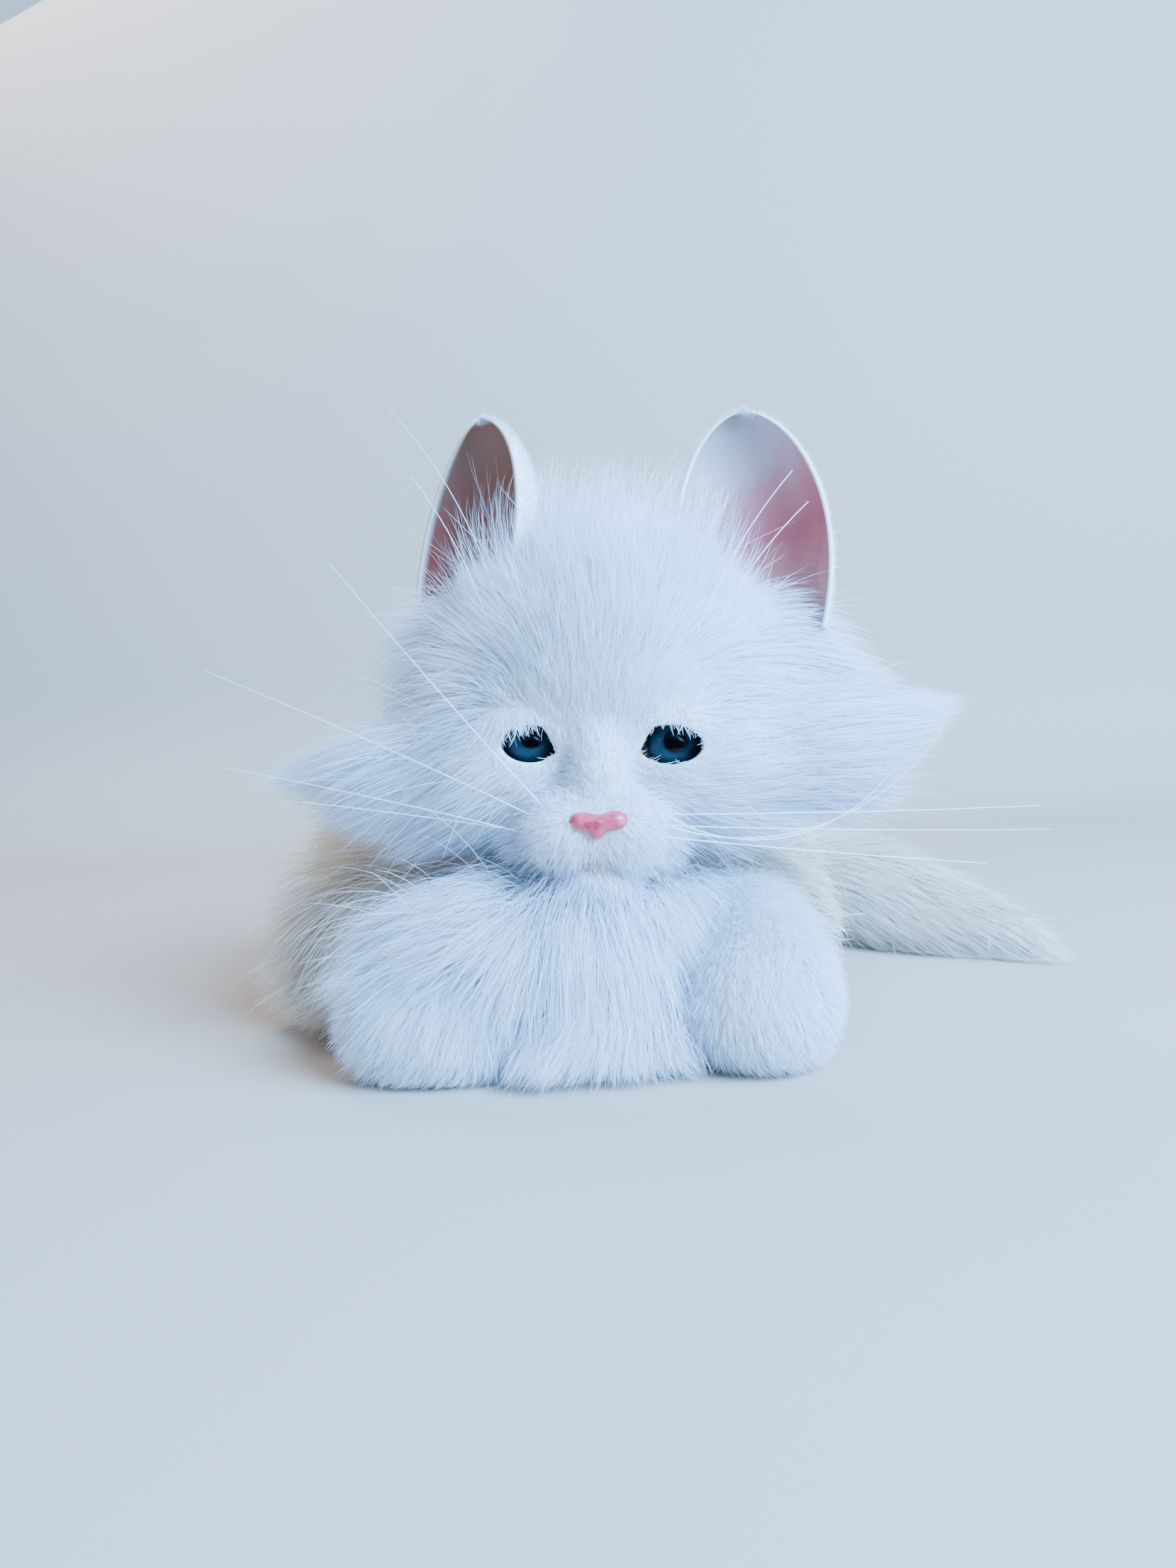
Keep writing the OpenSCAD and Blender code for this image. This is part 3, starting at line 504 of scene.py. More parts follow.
class Combing:
    """How the pile lies: marks on the skin, blended between them, and tufts that draw strands to a point.

    A mark is (place, flow, length, lift, reach), and a tuft is (place, tip, reach, pull).
    """

    LATE = 1.5           # the higher, the nearer to its tip a strand bends into a tuft
    CORE = 1.5           # the pull on strands near a tuft's place, before it is cut off at its full value
    SCATTER = 0.3        # how far the ends lie from the tuft's middle line, as a share of its reach

    def __init__(self, marks, tufts=()):
        self.at = np.array([m[0] for m in marks], float)
        self.flow = unit([m[1] for m in marks])
        self.length = np.array([m[2] for m in marks], float)
        self.lift = np.array([m[3] for m in marks], float)
        self.reach = np.array([m[4] for m in marks], float)
        self.tufts = [(np.array(at, float), np.array(tip, float), *rest) for at, tip, *rest in tufts]

    def __call__(self, points):
        """The flow, length and lift of the pile at each point."""
        gap = ((points[:, None, :] - self.at[None]) ** 2).sum(-1) / (2 * self.reach ** 2)
        weight = np.exp(gap.min(1, keepdims=True) - gap)
        weight /= weight.sum(1, keepdims=True)
        return weight @ self.flow, weight @ self.length, weight @ self.lift

    def draw_in(self, paths, roots, rng):
        """Bends the strands near each tuft towards its tip."""
        along = np.linspace(0, 1, paths.shape[1]) ** self.LATE
        for at, tip, reach, pull in self.tufts:
            near = np.exp(-((roots - at) ** 2).sum(1) / (2 * reach ** 2))
            near = np.minimum(self.CORE * near, 1) * pull * rng.uniform(0.75, 1.0, len(roots))
            share = rng.uniform(0.5, 1.0, len(roots))[:, None]
            stray = rng.normal(scale=reach * self.SCATTER, size=roots.shape) * (1.1 - share)
            target = at + (tip - at) * share + stray
            paths = paths + (target - paths[:, -1])[:, None, :] * (near[:, None] * along[None, :])[..., None]
        return paths


def mirrored(marks):
    """Marks with a copy of each one on the other side of the middle plane."""
    out = []
    for at, flow, *rest in marks:
        out.append((at, flow, *rest))
        if abs(at[0]) > 0.01:
            out.append(((-at[0], *at[1:]), (-flow[0], *flow[1:]), *rest))
    return out


FULL_TURN = 6.283        # radians, about
PATCH_BLUR = 0.18        # how uneven the edges of a patch are, as a share of its size
PATCH_LATE = 1.4         # the higher, the nearer to its tip a strand joins its patch
SHORTEST, SPREAD = 0.48, 0.6     # a strand's length runs from the first share of its mark's to their sum
LOOSE_SHARE = 0.08       # share of the strands that stand loose: longer, more astray and less gathered
LOOSE_LENGTH, LOOSE_STRAY, LOOSE_FREE = 1.12, 1.9, 0.7
FLATTEN = 0.7            # how much of a mark's flow out of the skin is taken away
WAVE_LENGTH, WAVE_SEED = 14.0, 5
ROOT_DEPTH = 0.4         # mm that a strand starts under the skin
CLEAR_ROOT, CLEAR_TIP = 0.6, 0.08        # mm over the skin, and more by this share of the length at the tip
FLOOR_GAP = 0.8          # mm, about the least height of a strand over the floor
FREE_ROOM = 4.0          # mm that pile may stand out of the frame's box before it is pressed back
SIDE_SHARE, MOST_ROOM = 0.03, 9.0        # the most it stands out: a share of the box's side, and mm more


def in_room(world):
    """Presses strands that stand far out of the frame's box back towards it."""
    low, high = (np.array(corner) / MM for corner in CAD_BOX)
    most = SIDE_SHARE * (high - low) + MOST_ROOM - FREE_ROOM
    for edge, sign in ((low - FREE_ROOM, -1), (high + FREE_ROOM, 1)):
        over = np.maximum((world - edge) * sign, 0)
        world = world - sign * (over - most * np.tanh(over / most))
    return world


def wander(points, scale, seed, waves=5):
    """A smooth pseudo-random direction for each place: a sum of waves, each about scale long."""
    rng = np.random.default_rng(seed)
    out = np.zeros_like(points)
    for _ in range(waves):
        wave = rng.normal(size=3) / scale
        phase, push = rng.random() * FULL_TURN, rng.normal(size=3)
        out += np.sin(points @ wave + phase)[:, None] * push
    return out * 2 / waves


def gather(paths, roots, cell, strength, rng):
    """Pulls the strands of each small patch together towards their tips."""
    spot = np.floor((roots + rng.normal(scale=cell * PATCH_BLUR, size=roots.shape)) / cell).astype(int)
    _, member = np.unique(spot, axis=0, return_inverse=True)
    member = member.ravel()
    count = np.bincount(member).astype(float)
    middle = np.zeros((len(count),) + paths.shape[1:])
    np.add.at(middle, member, paths)
    middle /= count[:, None, None]
    along = np.linspace(0, 1, paths.shape[1]) ** PATCH_LATE
    pull = (strength * (0.6 + 0.4 * rng.random(len(paths))))[:, None] * along[None, :]
    return paths * (1 - pull[..., None]) + middle[member] * pull[..., None]


def grow(skin, at, normal, combing, rng, steps=5, sag=0.3, stray=0.16, wave=0.2, clumps=()):
    """The path of each strand, as points from its root to its tip.

    Sag is the pull of gravity, stray and wave bend single strands and whole areas, and clumps is a row of
    (patch size, strength).
    """
    flow, length, lift = combing(at)
    length = length * (SHORTEST + SPREAD * np.sqrt(rng.random(len(at))))
    loose = rng.random(len(at)) < LOOSE_SHARE
    length[loose] *= LOOSE_LENGTH
    flow = flow - normal * (flow * normal).sum(1, keepdims=True) * FLATTEN
    astray = rng.normal(scale=stray, size=at.shape) * np.where(loose, LOOSE_STRAY, 1.0)[:, None]
    flow = unit(flow + wander(at, WAVE_LENGTH, WAVE_SEED) * wave + astray)
    point = at - normal * ROOT_DEPTH
    free = [point]
    down = np.array([0.0, 0.0, -1.0]) @ skin.axes[1]
    for i in range(steps):
        t = (i + 0.5) / steps
        heading = unit(flow + normal * (lift * (1.25 - t))[:, None] + down * sag * t)
        point = point + heading * (length / steps)[:, None]
        gap = skin.distance(point)
        need = CLEAR_ROOT + CLEAR_TIP * length * t
        point = point + skin.slope(point) * np.maximum(0, need - gap)[:, None]
        free.append(point)
    free = np.stack(free, axis=1)
    paths = free
    for cell, strength in clumps:
        paths = gather(paths, at, cell, strength, rng)
    paths = combing.draw_in(paths, at, rng)
    paths[loose] = free[loose] * LOOSE_FREE + paths[loose] * (1 - LOOSE_FREE)
    world = place(paths, skin.axes) / MM
    world[..., 2] = np.maximum(world[..., 2], FLOOR_GAP * rng.uniform(0.6, 2.5, len(at))[:, None])
    return inside(in_room(world) * MM, skin.axes)


def ribbons(name, paths, facing, width, axes, rng, body, material, slot):
    """One mesh of thin tapered strands that follow the paths."""
    count, knots = paths.shape[:2]
    rows = knots - 1
    tangent = unit(np.gradient(paths, axis=1))
    facing = unit(facing + rng.normal(scale=0.45, size=facing.shape))
    side = unit(np.cross(tangent, facing[:, None, :]))
    taper = (1 - (np.arange(rows) / rows) ** 2 * 0.75)[None, :, None]
    half = side[:, :-1] * taper * (width * rng.uniform(0.7, 1.25, count) / 2)[:, None, None]
    verts = np.concatenate([paths[:, :-1] - half, paths[:, :-1] + half, paths[:, -1:]], axis=1)
    stride = 2 * rows + 1
    faces = []
    for k in range(rows - 1):
        faces += [(k, k + 1, rows + k + 1), (k, rows + k + 1, rows + k)]
    faces.append((rows - 1, 2 * rows, 2 * rows - 1))
    index = (np.arange(count)[:, None, None] * stride + np.array(faces)[None]).reshape(-1)
    mesh = bpy.data.meshes.new(name)
    mesh.vertices.add(count * stride)
    mesh.vertices.foreach_set("co", place(verts.reshape(-1, 3), axes).astype(np.float32).ravel())
    mesh.loops.add(len(index))
    mesh.loops.foreach_set("vertex_index", index.astype(np.int32))
    triangles = len(index) // 3
    mesh.polygons.add(triangles)
    mesh.polygons.foreach_set("loop_start", np.arange(triangles, dtype=np.int32) * 3)
    mesh.polygons.foreach_set("use_smooth", np.ones(triangles, bool))
    v = np.concatenate([np.arange(rows), np.arange(rows), [rows]]) / rows
    uv = np.stack([np.repeat(rng.random(count), stride), np.tile(v, count)], axis=1)
    layer = mesh.uv_layers.new(name="OFBake")
    layer.data.foreach_set("uv", uv[index].astype(np.float32).ravel())
    mesh.update(calc_edges=True)
    add_piece(name, mesh, body, material)


MOST_STRANDS = 20000     # in one mesh
ROOT_VOXEL = 2.4         # mm


def coat(name, skin, combing, count, width, body, fur, seed, voxel=ROOT_VOXEL, keep=None, **style):
    """A coat of fur on a skin, as one or more meshes.

    Fur is (material, slot), and its slot is not used; voxel is how fine the mesh is that the roots stand on, keep
    says which places grow any, and style goes to grow.
    """
    rng = np.random.default_rng(seed)
    at, normal = roots_on(skin, skin.mesh(name + "_roots", voxel), count, rng)
    if keep is not None:
        chosen = keep(at, rng)
        at, normal = at[chosen], normal[chosen]
    paths = grow(skin, at, normal, combing, rng, **style)
    parts = math.ceil(len(paths) / MOST_STRANDS)
    for i in range(parts):
        ribbons(f"{name}_{i + 1}", paths[i::parts], normal[i::parts], width, skin.axes, rng, body, *fur)


# ------------------------------------------------------------------ the head

EYE_AT = np.array([21.5, -37.0, 15.0])   # the right eye; the left one mirrors it
EYE_R = 11.0
SOCKET_R = 13.1
NOSE_AT = np.array([1.0, -66.0, -5.0])
EYE_OPENINGS = [         # middle and radii of each slit in the cloth, right and left
    (np.array([21.2, -50.0, 16.4]), np.array([9.9, 14.0, 6.0])),
    (np.array([-19.6, -50.0, 16.2]), np.array([8.6, 14.0, 5.6])),
]


def head_skin():
    """The plush of the head: brow, crown, cheeks, muzzle, nape and a rise under each ear."""
    sockets = [(EYE_AT * (side, 1, 1), np.full(3, SOCKET_R)) for side in (-1, 1)]
    return Skin(HEAD, [
        ((21.5, -37.5, 16), (18, 15.3, 16)),
        ((-21.5, -37.5, 16), (18, 15.3, 16)),
        ((0, -8, 31), (46, 43, 46)),
        ((0, -30, 36), (30, 24, 24)),
        ((46, -20, 12), (26, 18, 16)),
        ((-43, -22, 7), (25, 18, 15)),
        ((24, -34, 8), (22, 19, 17)),
        ((-24, -34, 8), (22, 19, 17)),
        ((8.5, -55, -8), (12, 12, 10.5)),
        ((-8.5, -55, -8), (12, 12, 10.5)),
        ((0, -50, 9), (8, 12.5, 12)),
        ((0, 2, 2), (38, 34, 20)),
        ((45, -1, 41), (13, 14, 14)),
        ((-44, -1, 41), (13, 14, 14)),
    ], hollows=EYE_OPENINGS + sockets, blend=7.0)


def head_combing():
    """Up and back over the brow, out to points on the cheeks; the left cheek's locks hang lower."""
    middle_marks = [
        ((0, -63, 7), (0, 0.3, 1), 3.2, 0.5, 5),
        ((0, -57, 17), (0, 0.4, 1), 5, 0.45, 5),
        ((0, -54, 29), (0, 0.5, 1), 11, 0.45, 7),
        ((0, -48, 46), (0, 0.5, 1), 24, 0.55, 9),
        ((0, -32, 64), (0, 0.35, 1), 24, 0.8, 10),
        ((0, -10, 76), (-0.1, 0.15, 1), 22, 1.2, 10),
        ((0, 18, 70), (0, 1, 0.2), 30, 0.5, 12),
        ((0, 36, 40), (0, 0.6, -0.8), 32, 0.3, 14),
        ((0, 34, 0), (0, 0.3, -1), 26, 0.25, 14),
    ]
    both_sides = [
        ((21, -51, 23), (0.2, -0.1, -1), 5.0, 0.3, 2.4),
        ((28, -50, 21), (0.35, -0.1, -1), 5.0, 0.3, 2.4),
        ((12, -52, 20), (0.1, 0.2, 0.9), 5, 0.5, 4),
        ((22, -50, 31), (0.3, 0.4, 1), 9, 0.5, 4.5),
        ((31, -40, 48), (0.6, 0.35, 0.7), 22, 0.45, 9),
        ((38, -24, 56), (0.5, 0.2, 0.8), 15, 0.4, 8),
        ((24, -16, 71), (0.2, 0.3, 0.9), 19, 0.8, 9),
        ((10, -54, 11), (0.6, 0.3, -0.45), 4.5, 0.45, 4),
        ((19, -52, 6), (0.9, 0.3, -0.25), 6, 0.4, 4),
        ((13, -65, -8), (0.6, 0.3, -0.4), 4.2, 0.8, 5),
        ((4, -65, 1), (0.5, 0.2, 0.6), 2.6, 0.6, 3),
        ((6, -66, -13), (0.3, -0.2, -1), 7.0, 0.6, 4),
        ((8, -60, -18), (0.25, -0.5, -1), 6.5, 0.5, 4),
        ((24, -46, -10), (0.8, 0.2, -0.4), 15, 0.3, 6),
        ((44, 15, 42), (0.3, 0.6, 0.7), 22, 0.5, 7),
        ((57, 0, 40), (0.7, 0.2, 0.5), 16, 0.4, 6),
        ((43, 16, 26), (0.6, 0.6, -0.4), 36, 0.3, 11),
        ((34, 16, -4), (0.5, 0.4, -0.8), 26, 0.2, 12),
    ]
    right = [
        ((34, -46, 14), (1, 0.3, 0.05), 15, 0.35, 5),
        ((30, -46, 3), (1, 0.3, 0.15), 20, 0.35, 6),
        ((42, -32, 36), (0.95, 0.3, 0.0), 32, 0.45, 8),
        ((48, -8, 38), (1, 0.2, -0.3), 42, 0.45, 10),
        ((60, -28, 14), (1, 0.15, 0.2), 44, 0.4, 10),
        ((44, -38, 4), (1, 0.2, 0.25), 46, 0.3, 8),
        ((50, -28, -2), (1, 0.1, -0.1), 42, 0.25, 8),
        ((36, -34, -9), (0.8, 0, -0.6), 30, 0.3, 7),
        ((48, -14, -4), (0.8, 0, -0.6), 34, 0.3, 8),
        ((54, -4, 12), (1, 0.3, 0.1), 46, 0.3, 10),
    ]
    left = [
        ((-27, -50, 23), (0.5, -0.2, -1), 9, 0.3, 2.6),
        ((-34, -46, 14), (-1, 0.3, -0.05), 15, 0.35, 5),
        ((-30, -46, 3), (-1, 0.3, -0.1), 20, 0.35, 6),
        ((-42, -32, 36), (-0.75, 0.25, -0.5), 34, 0.5, 8),
        ((-47, -8, 38), (-0.7, 0.1, -0.8), 38, 0.45, 10),
        ((-58, -28, 9), (-1, 0.05, -0.25), 36, 0.35, 10),
        ((-42, -40, 2), (-1, 0.15, -0.18), 34, 0.3, 8),
        ((-40, -34, -8), (-1, 0, -0.45), 28, 0.25, 8),
        ((-28, -36, -9), (-0.7, 0, -0.8), 26, 0.3, 7),
        ((-52, -6, 8), (-0.9, 0.3, -0.4), 40, 0.3, 10),
    ]
    tufts = [
        ((64, -20, 16), (126, -5, 32), 17, 0.95),
        ((52, -12, 38), (108, -4, 33), 11, 0.6),
        ((58, -24, 8), (112, -8, 19), 7, 0.8),
        ((56, -26, -2), (108, -10, 2), 9, 0.8),
        ((50, -26, -4), (99, -13, -8), 8, 0.7),
        ((-62, -22, 12), (-118, -24, 1), 12, 0.95),
        ((-52, -34, -2), (-94, -28, -13), 9, 0.9),
        ((-38, -38, -11), (-68, -38, -26), 8, 0.8),
        ((36, -28, 52), (46, -18, 84), 6, 0.45),
        ((-36, -28, 52), (-50, -18, 84), 6, 0.45),
    ]
    return Combing(middle_marks + mirrored(both_sides) + right + left, tufts)


def clear_of_face(at, rng):
    """Leaves out roots under the nose and in the openings of the eyes."""
    chosen = np.ones(len(at), bool)
    for centre, radii in EYE_OPENINGS:
        chosen &= np.linalg.norm((at - centre) / radii, axis=1) > 1
    chosen &= np.linalg.norm((at - NOSE_AT) / (6.8, 8.0, 3.0), axis=1) > 1
    return chosen


def on_face(at, rng):
    """Keeps the muzzle and a ring round each eye, where the pile is short and curly."""
    near = np.linalg.norm((at - (0, -60, -6)) / (24, 18, 14), axis=1) < rng.uniform(0.7, 1.1, len(at))
    for centre, radii in EYE_OPENINGS:
        near |= np.linalg.norm((at - centre) / (radii + (4, 0, 4)), axis=1) < rng.uniform(0.8, 1.1, len(at))
    return near & clear_of_face(at, rng)


def on_crown(at, rng):
    """Keeps the top of the head and the front of the ears' bases, where single long hairs stand up."""
    return (at[:, 2] > rng.uniform(42, 60, len(at))) & (at[:, 1] < 6)


def wisp_combing():
    """Long hairs that stand up on the crown and fan out before the ears."""
    return Combing(mirrored([
        ((0, -30, 66), (0, 0.1, 1), 40, 0.9, 12),
        ((0, -8, 76), (0, 0.1, 1), 42, 1.1, 12),
        ((24, -16, 70), (0.1, 0.1, 1), 42, 0.9, 10),
        ((37, -28, 54), (0.5, -0.05, 1), 29, 0.7, 9),
        ((50, -18, 44), (0.8, 0, 0.8), 22, 0.6, 9),
    ]), tufts=[
        ((-38, -30, 52), (-60, -32, 84), 7, 0.5),
        ((-20, -10, 74), (-18, 2, 118), 6, 0.8),
        ((-4, -8, 77), (-2, 4, 110), 5, 0.6),
        ((13, -6, 76), (13, 6, 114), 5, 0.7),
        ((26, -10, 71), (29, 2, 106), 5, 0.6),
        ((40, -28, 52), (60, -28, 90), 8, 0.5),
    ])


def curl_combing():
    """Short and lifted, on the muzzle and round the eyes."""
    return Combing(mirrored([
        ((0, -66, -4), (0, -0.3, -0.6), 3.4, 0.9, 8),
        ((14, -60, -8), (0.6, 0, -0.6), 4.0, 0.9, 8),
        ((21, -50, 23), (0.1, -0.4, -1), 5.0, 0.7, 6),
        ((21, -52, 8), (0.3, 0, -0.8), 3.4, 0.6, 6),
    ]))


def chin_skin():
    return Skin(HEAD, [
        ((0, -50, -22.5), (11, 10, 4.2)),
        ((0, -55, -22), (8, 7, 3.8)),
    ], blend=4.0)


def chin_combing():
    return Combing(mirrored([
        ((0, -62, -19.5), (0, -1, 0.25), 5, 0.6, 4),
        ((0, -63, -23), (0, -0.2, -1), 5.5, 0.7, 4),
        ((0, -54, -27), (0, 0.5, -0.6), 7, 0.4, 6),
        ((9, -52, -22), (0.8, 0.2, -0.8), 8, 0.4, 5),
        ((0, -40, -24), (0, 0.8, -0.6), 6, 0.3, 6),
    ]))


# ------------------------------------------------------------------ the body

def body_skin():
    return Skin(PET, [
        ((0, 12, 32), (62, 46, 36)),
        ((0, 72, 42), (70, 48, 42)),
        ((50, 66, 30), (38, 44, 33)),
        ((-58, 62, 38), (40, 46, 38)),
        ((54, 4, 24), (26, 28, 26)),
        ((-60, 6, 30), (29, 32, 30)),
    ], blend=14.0, floor=1.0)


def body_combing():
    return Combing([
        ((0, 20, 66), (0, 1, -0.1), 34, 0.3, 16),
        ((0, 70, 82), (0, 1, -0.15), 34, 0.3, 16),
        ((0, 118, 50), (0, 0.4, -1), 32, 0.3, 16),
        ((0, 118, 10), (0, 0.6, -1), 24, 0.3, 16),
        ((40, 40, 68), (0.5, 0.8, -0.2), 32, 0.3, 14),
        ((60, 80, 60), (0.8, 0.6, -0.5), 28, 0.25, 14),
        ((60, 108, 30), (0.8, 0.5, -0.6), 26, 0.25, 14),
        ((88, 66, 34), (0.8, 0.5, -0.5), 26, 0.2, 14),
        ((86, 68, 6), (0.9, 0.3, -0.4), 20, 0.25, 12),
        ((80, 6, 30), (0.6, 0.6, -0.7), 22, 0.25, 12),
        ((78, 0, 6), (0.7, 0.3, -0.6), 16, 0.25, 12),
        ((56, -20, 40), (0.6, -0.1, -0.8), 20, 0.3, 12),
        ((-40, 40, 68), (-0.7, 0.6, -0.2), 34, 0.45, 14),
        ((-60, 80, 70), (-0.9, 0.3, -0.35), 32, 0.5, 14),
        ((-60, 110, 30), (-0.7, 0.6, -0.7), 30, 0.35, 14),
        ((-94, 62, 54), (-0.8, -0.1, -0.7), 30, 0.6, 12),
        ((-98, 60, 28), (-0.55, -0.2, -1), 30, 0.55, 12),
        ((-94, 56, 6), (-0.8, -0.2, -0.7), 22, 0.4, 12),
        ((-78, 8, 48), (-0.9, -0.3, -0.6), 42, 0.6, 12),
        ((-88, 8, 24), (-0.8, -0.4, -0.7), 42, 0.6, 12),
        ((-84, -4, 6), (-0.8, -0.6, -0.3), 32, 0.5, 10),
        ((-64, -22, 36), (-0.7, -0.5, -0.7), 38, 0.45, 10),
        ((-62, -26, 10), (-0.7, -0.7, -0.3), 30, 0.4, 10),
        ((0, -20, 60), (0, -0.6, -0.6), 26, 0.3, 14),
    ], tufts=[
        ((-78, -14, 22), (-100, -44, 3), 12, 0.85),
        ((-86, 10, 24), (-124, -16, 12), 13, 0.85),
        ((-92, 34, 44), (-124, 8, 36), 12, 0.7),
    ])


def chest_skin():
    return Skin(PET, [
        ((2, -60, 26), (26, 20, 24)),
        ((2, -68, 12), (20, 15, 13)),
        ((-4, -52, 41), (34, 19, 14)),
        ((-36, -54, 38), (26, 20, 13)),
        ((32, -48, 38), (20, 15, 14)),
    ], blend=10.0, floor=1.0)


def chest_combing():
    return Combing([
        ((2, -66, 52), (-0.2, -0.6, -0.6), 28, 0.6, 8),
        ((0, -80, 34), (-0.25, -0.3, -1), 38, 0.35, 9),
        ((0, -84, 12), (-0.2, -0.3, -1), 18, 0.3, 8),
        ((16, -80, 30), (0.0, -0.4, -1), 30, 0.3, 8),
        ((24, -74, 12), (0.6, -0.5, -0.5), 22, 0.35, 8),
        ((24, -62, 48), (0.25, -0.6, -0.8), 28, 0.5, 8),
        ((44, -54, 46), (0.6, -0.4, -0.5), 22, 0.4, 9),
        ((-18, -74, 42), (-0.6, -0.35, -0.8), 42, 0.4, 8),
        ((-22, -76, 24), (-0.4, -0.45, -1), 30, 0.4, 8),
        ((-36, -70, 44), (-0.85, -0.3, -0.55), 46, 0.4, 8),
        ((-54, -62, 42), (-0.9, -0.2, -0.4), 38, 0.4, 8),
        ((-46, -70, 32), (-0.7, -0.3, -0.8), 34, 0.4, 7),
        ((-30, -40, 52), (-0.8, -0.2, -0.2), 34, 0.35, 10),
    ], tufts=[
        ((-8, -82, 22), (-22, -98, 2), 8, 0.85),
        ((-20, -80, 20), (-36, -94, 4), 6, 0.7),
        ((10, -84, 16), (6, -97, 2), 6, 0.7),
        ((22, -78, 14), (34, -96, 2), 7, 0.7),
        ((-42, -62, 44), (-79, -62, 42), 9, 0.95),
        ((-44, -66, 36), (-72, -76, 22), 8, 0.6),
    ])


PAW_FRONT = 21           # mm from a paw's front edge to its middle


def leg_skin(paw, high):
    """A foreleg lying on the floor; high is how thick it is."""
    x, y = paw
    return Skin(PET, [
        ((x, y, high * 0.51), (21.5, high / 2, high / 2)),
        ((x, y - 5, high * 0.4), (19, high * 0.38, high * 0.37)),
        ((x, y + 18, high * 0.7), (18, 21, high * 0.46)),
    ], blend=8.0, floor=1.0)


def right_leg_combing(paw):
    x, y = paw
    return Combing([
        ((x, y - 22, 20), (0.1, -0.4, -0.8), 8, 0.9, 9),
        ((x, y - 12, 38), (0.1, -0.8, -0.3), 9, 0.8, 9),
        ((x, y - 16, 3), (0.7, -0.6, -0.3), 9, 0.4, 7),
        ((x + 21, y, 20), (0.5, -0.2, -0.6), 7, 0.9, 9),
        ((x - 19, y, 20), (-0.3, -0.4, -0.8), 8, 0.8, 9),
        ((x, y + 20, 46), (0.2, -0.8, -0.2), 11, 0.7, 10),
        ((x + 20, y + 18, 30), (0.6, -0.1, -0.7), 11, 0.6, 10),
        ((x, y + 10, 4), (0.5, 0, -0.6), 7, 0.5, 9),
    ])


def left_leg_combing(paw):
    x, y = paw
    return Combing([
        ((x, y - 18, 16), (-0.6, -0.1, -0.7), 10, 0.5, 8),
        ((x - 4, y - 12, 30), (-0.8, -0.5, -0.5), 20, 0.4, 8),
        ((x + 8, y - 14, 28), (-0.4, -0.5, -0.9), 20, 0.4, 8),
        ((x, y - 16, 3), (-0.5, -0.7, -0.3), 9, 0.4, 7),
        ((x - 21, y, 16), (-0.9, -0.4, -0.3), 15, 0.6, 8),
        ((x + 19, y - 8, 16), (-0.1, -0.4, -0.9), 16, 0.4, 8),
        ((x, y + 20, 38), (-0.7, -0.6, -0.3), 26, 0.5, 10),
        ((x - 20, y + 18, 24), (-0.8, -0.2, -0.6), 22, 0.5, 10),
        ((x, y + 10, 4), (-0.5, 0, -0.6), 7, 0.5, 9),
    ])


# ------------------------------------------------------------------ the tail

TAIL_MARKS = np.array([  # x, y, z and radius, from root to tip
    (66, 100, 21, 13), (94, 97, 21, 16), (122, 79, 18, 16), (146, 58, 11, 10), (163, 40, 6, 4)
], float)
TAIL_BLOBS, TAIL_COMBED = 14, 9


def tail_curve(t):
    """A point and a radius on the tail; t goes from 0 at its root to 1 at its tip."""
    last = len(TAIL_MARKS) - 1
    i = min(int(t * last), last - 1)
    u = t * last - i
    p0, p1 = TAIL_MARKS[max(i - 1, 0)], TAIL_MARKS[i]
    p2, p3 = TAIL_MARKS[i + 1], TAIL_MARKS[min(i + 2, last)]
    return 0.5 * (2 * p1 + (p2 - p0) * u + (2 * p0 - 5 * p1 + 4 * p2 - p3) * u ** 2
                  + (3 * p1 - p0 - 3 * p2 + p3) * u ** 3)


def tail_skin():
    blobs = []
    for t in np.linspace(0, 1, TAIL_BLOBS):
        x, y, z, r = tail_curve(t)
        blobs.append(((x, y, max(z, r + 1)), (r, r, r)))
    return Skin(PET, blobs, blend=5.0, floor=1.0)


def tail_combing():
    marks = []
    for t in np.linspace(0.02, 0.98, TAIL_COMBED):
        here, ahead = tail_curve(t), tail_curve(min(t + 0.04, 1.0))
        along = unit(ahead[:3] - tail_curve(max(t - 0.04, 0))[:3])
        side = unit(np.cross(along, (0, 0, 1)))
        length = 30 - 8 * t
        for out, lift in ((np.array([0, 0, 1.0]), 0.3), (side, 0.35), (-side, 0.35)):
            marks.append((here[:3] + out * here[3], along + out * 0.1, length, lift, 9))
    return Combing(marks)


# ------------------------------------------------------------------ ears

EAR_HEIGHT = 70.0
EAR_RADIUS = {-1: 27.5, 1: 26.0}
EAR_WALL = 1.5
EAR_COLS, EAR_ROWS = 72, 56      # points round an ear's sheet, and from its base to its tip
FOLD_AT, FOLD_HEIGHT = (0.74, 0.27), 2.2         # a raised fold near the outer edge: u and v, and mm
FOLD_WIDTH, FOLD_LENGTH, FOLD_CURVE = 0.055, 0.13, 0.05
EAR_TONE_SPAN = 1.35     # the tint runs this far past the tip, as a share of the ear's height
EAR_TONE_TILT = 0.22     # how much lower the tint lies at the outer edge
EAR_TONE_NOISE = 0.34
EDGE_PALE, TIP_PALE = 14, 70     # how fast the tint comes in from the edges and from the tip
EAR_PITCH = math.radians(-4)
FLOCK = 9000             # strands on one ear


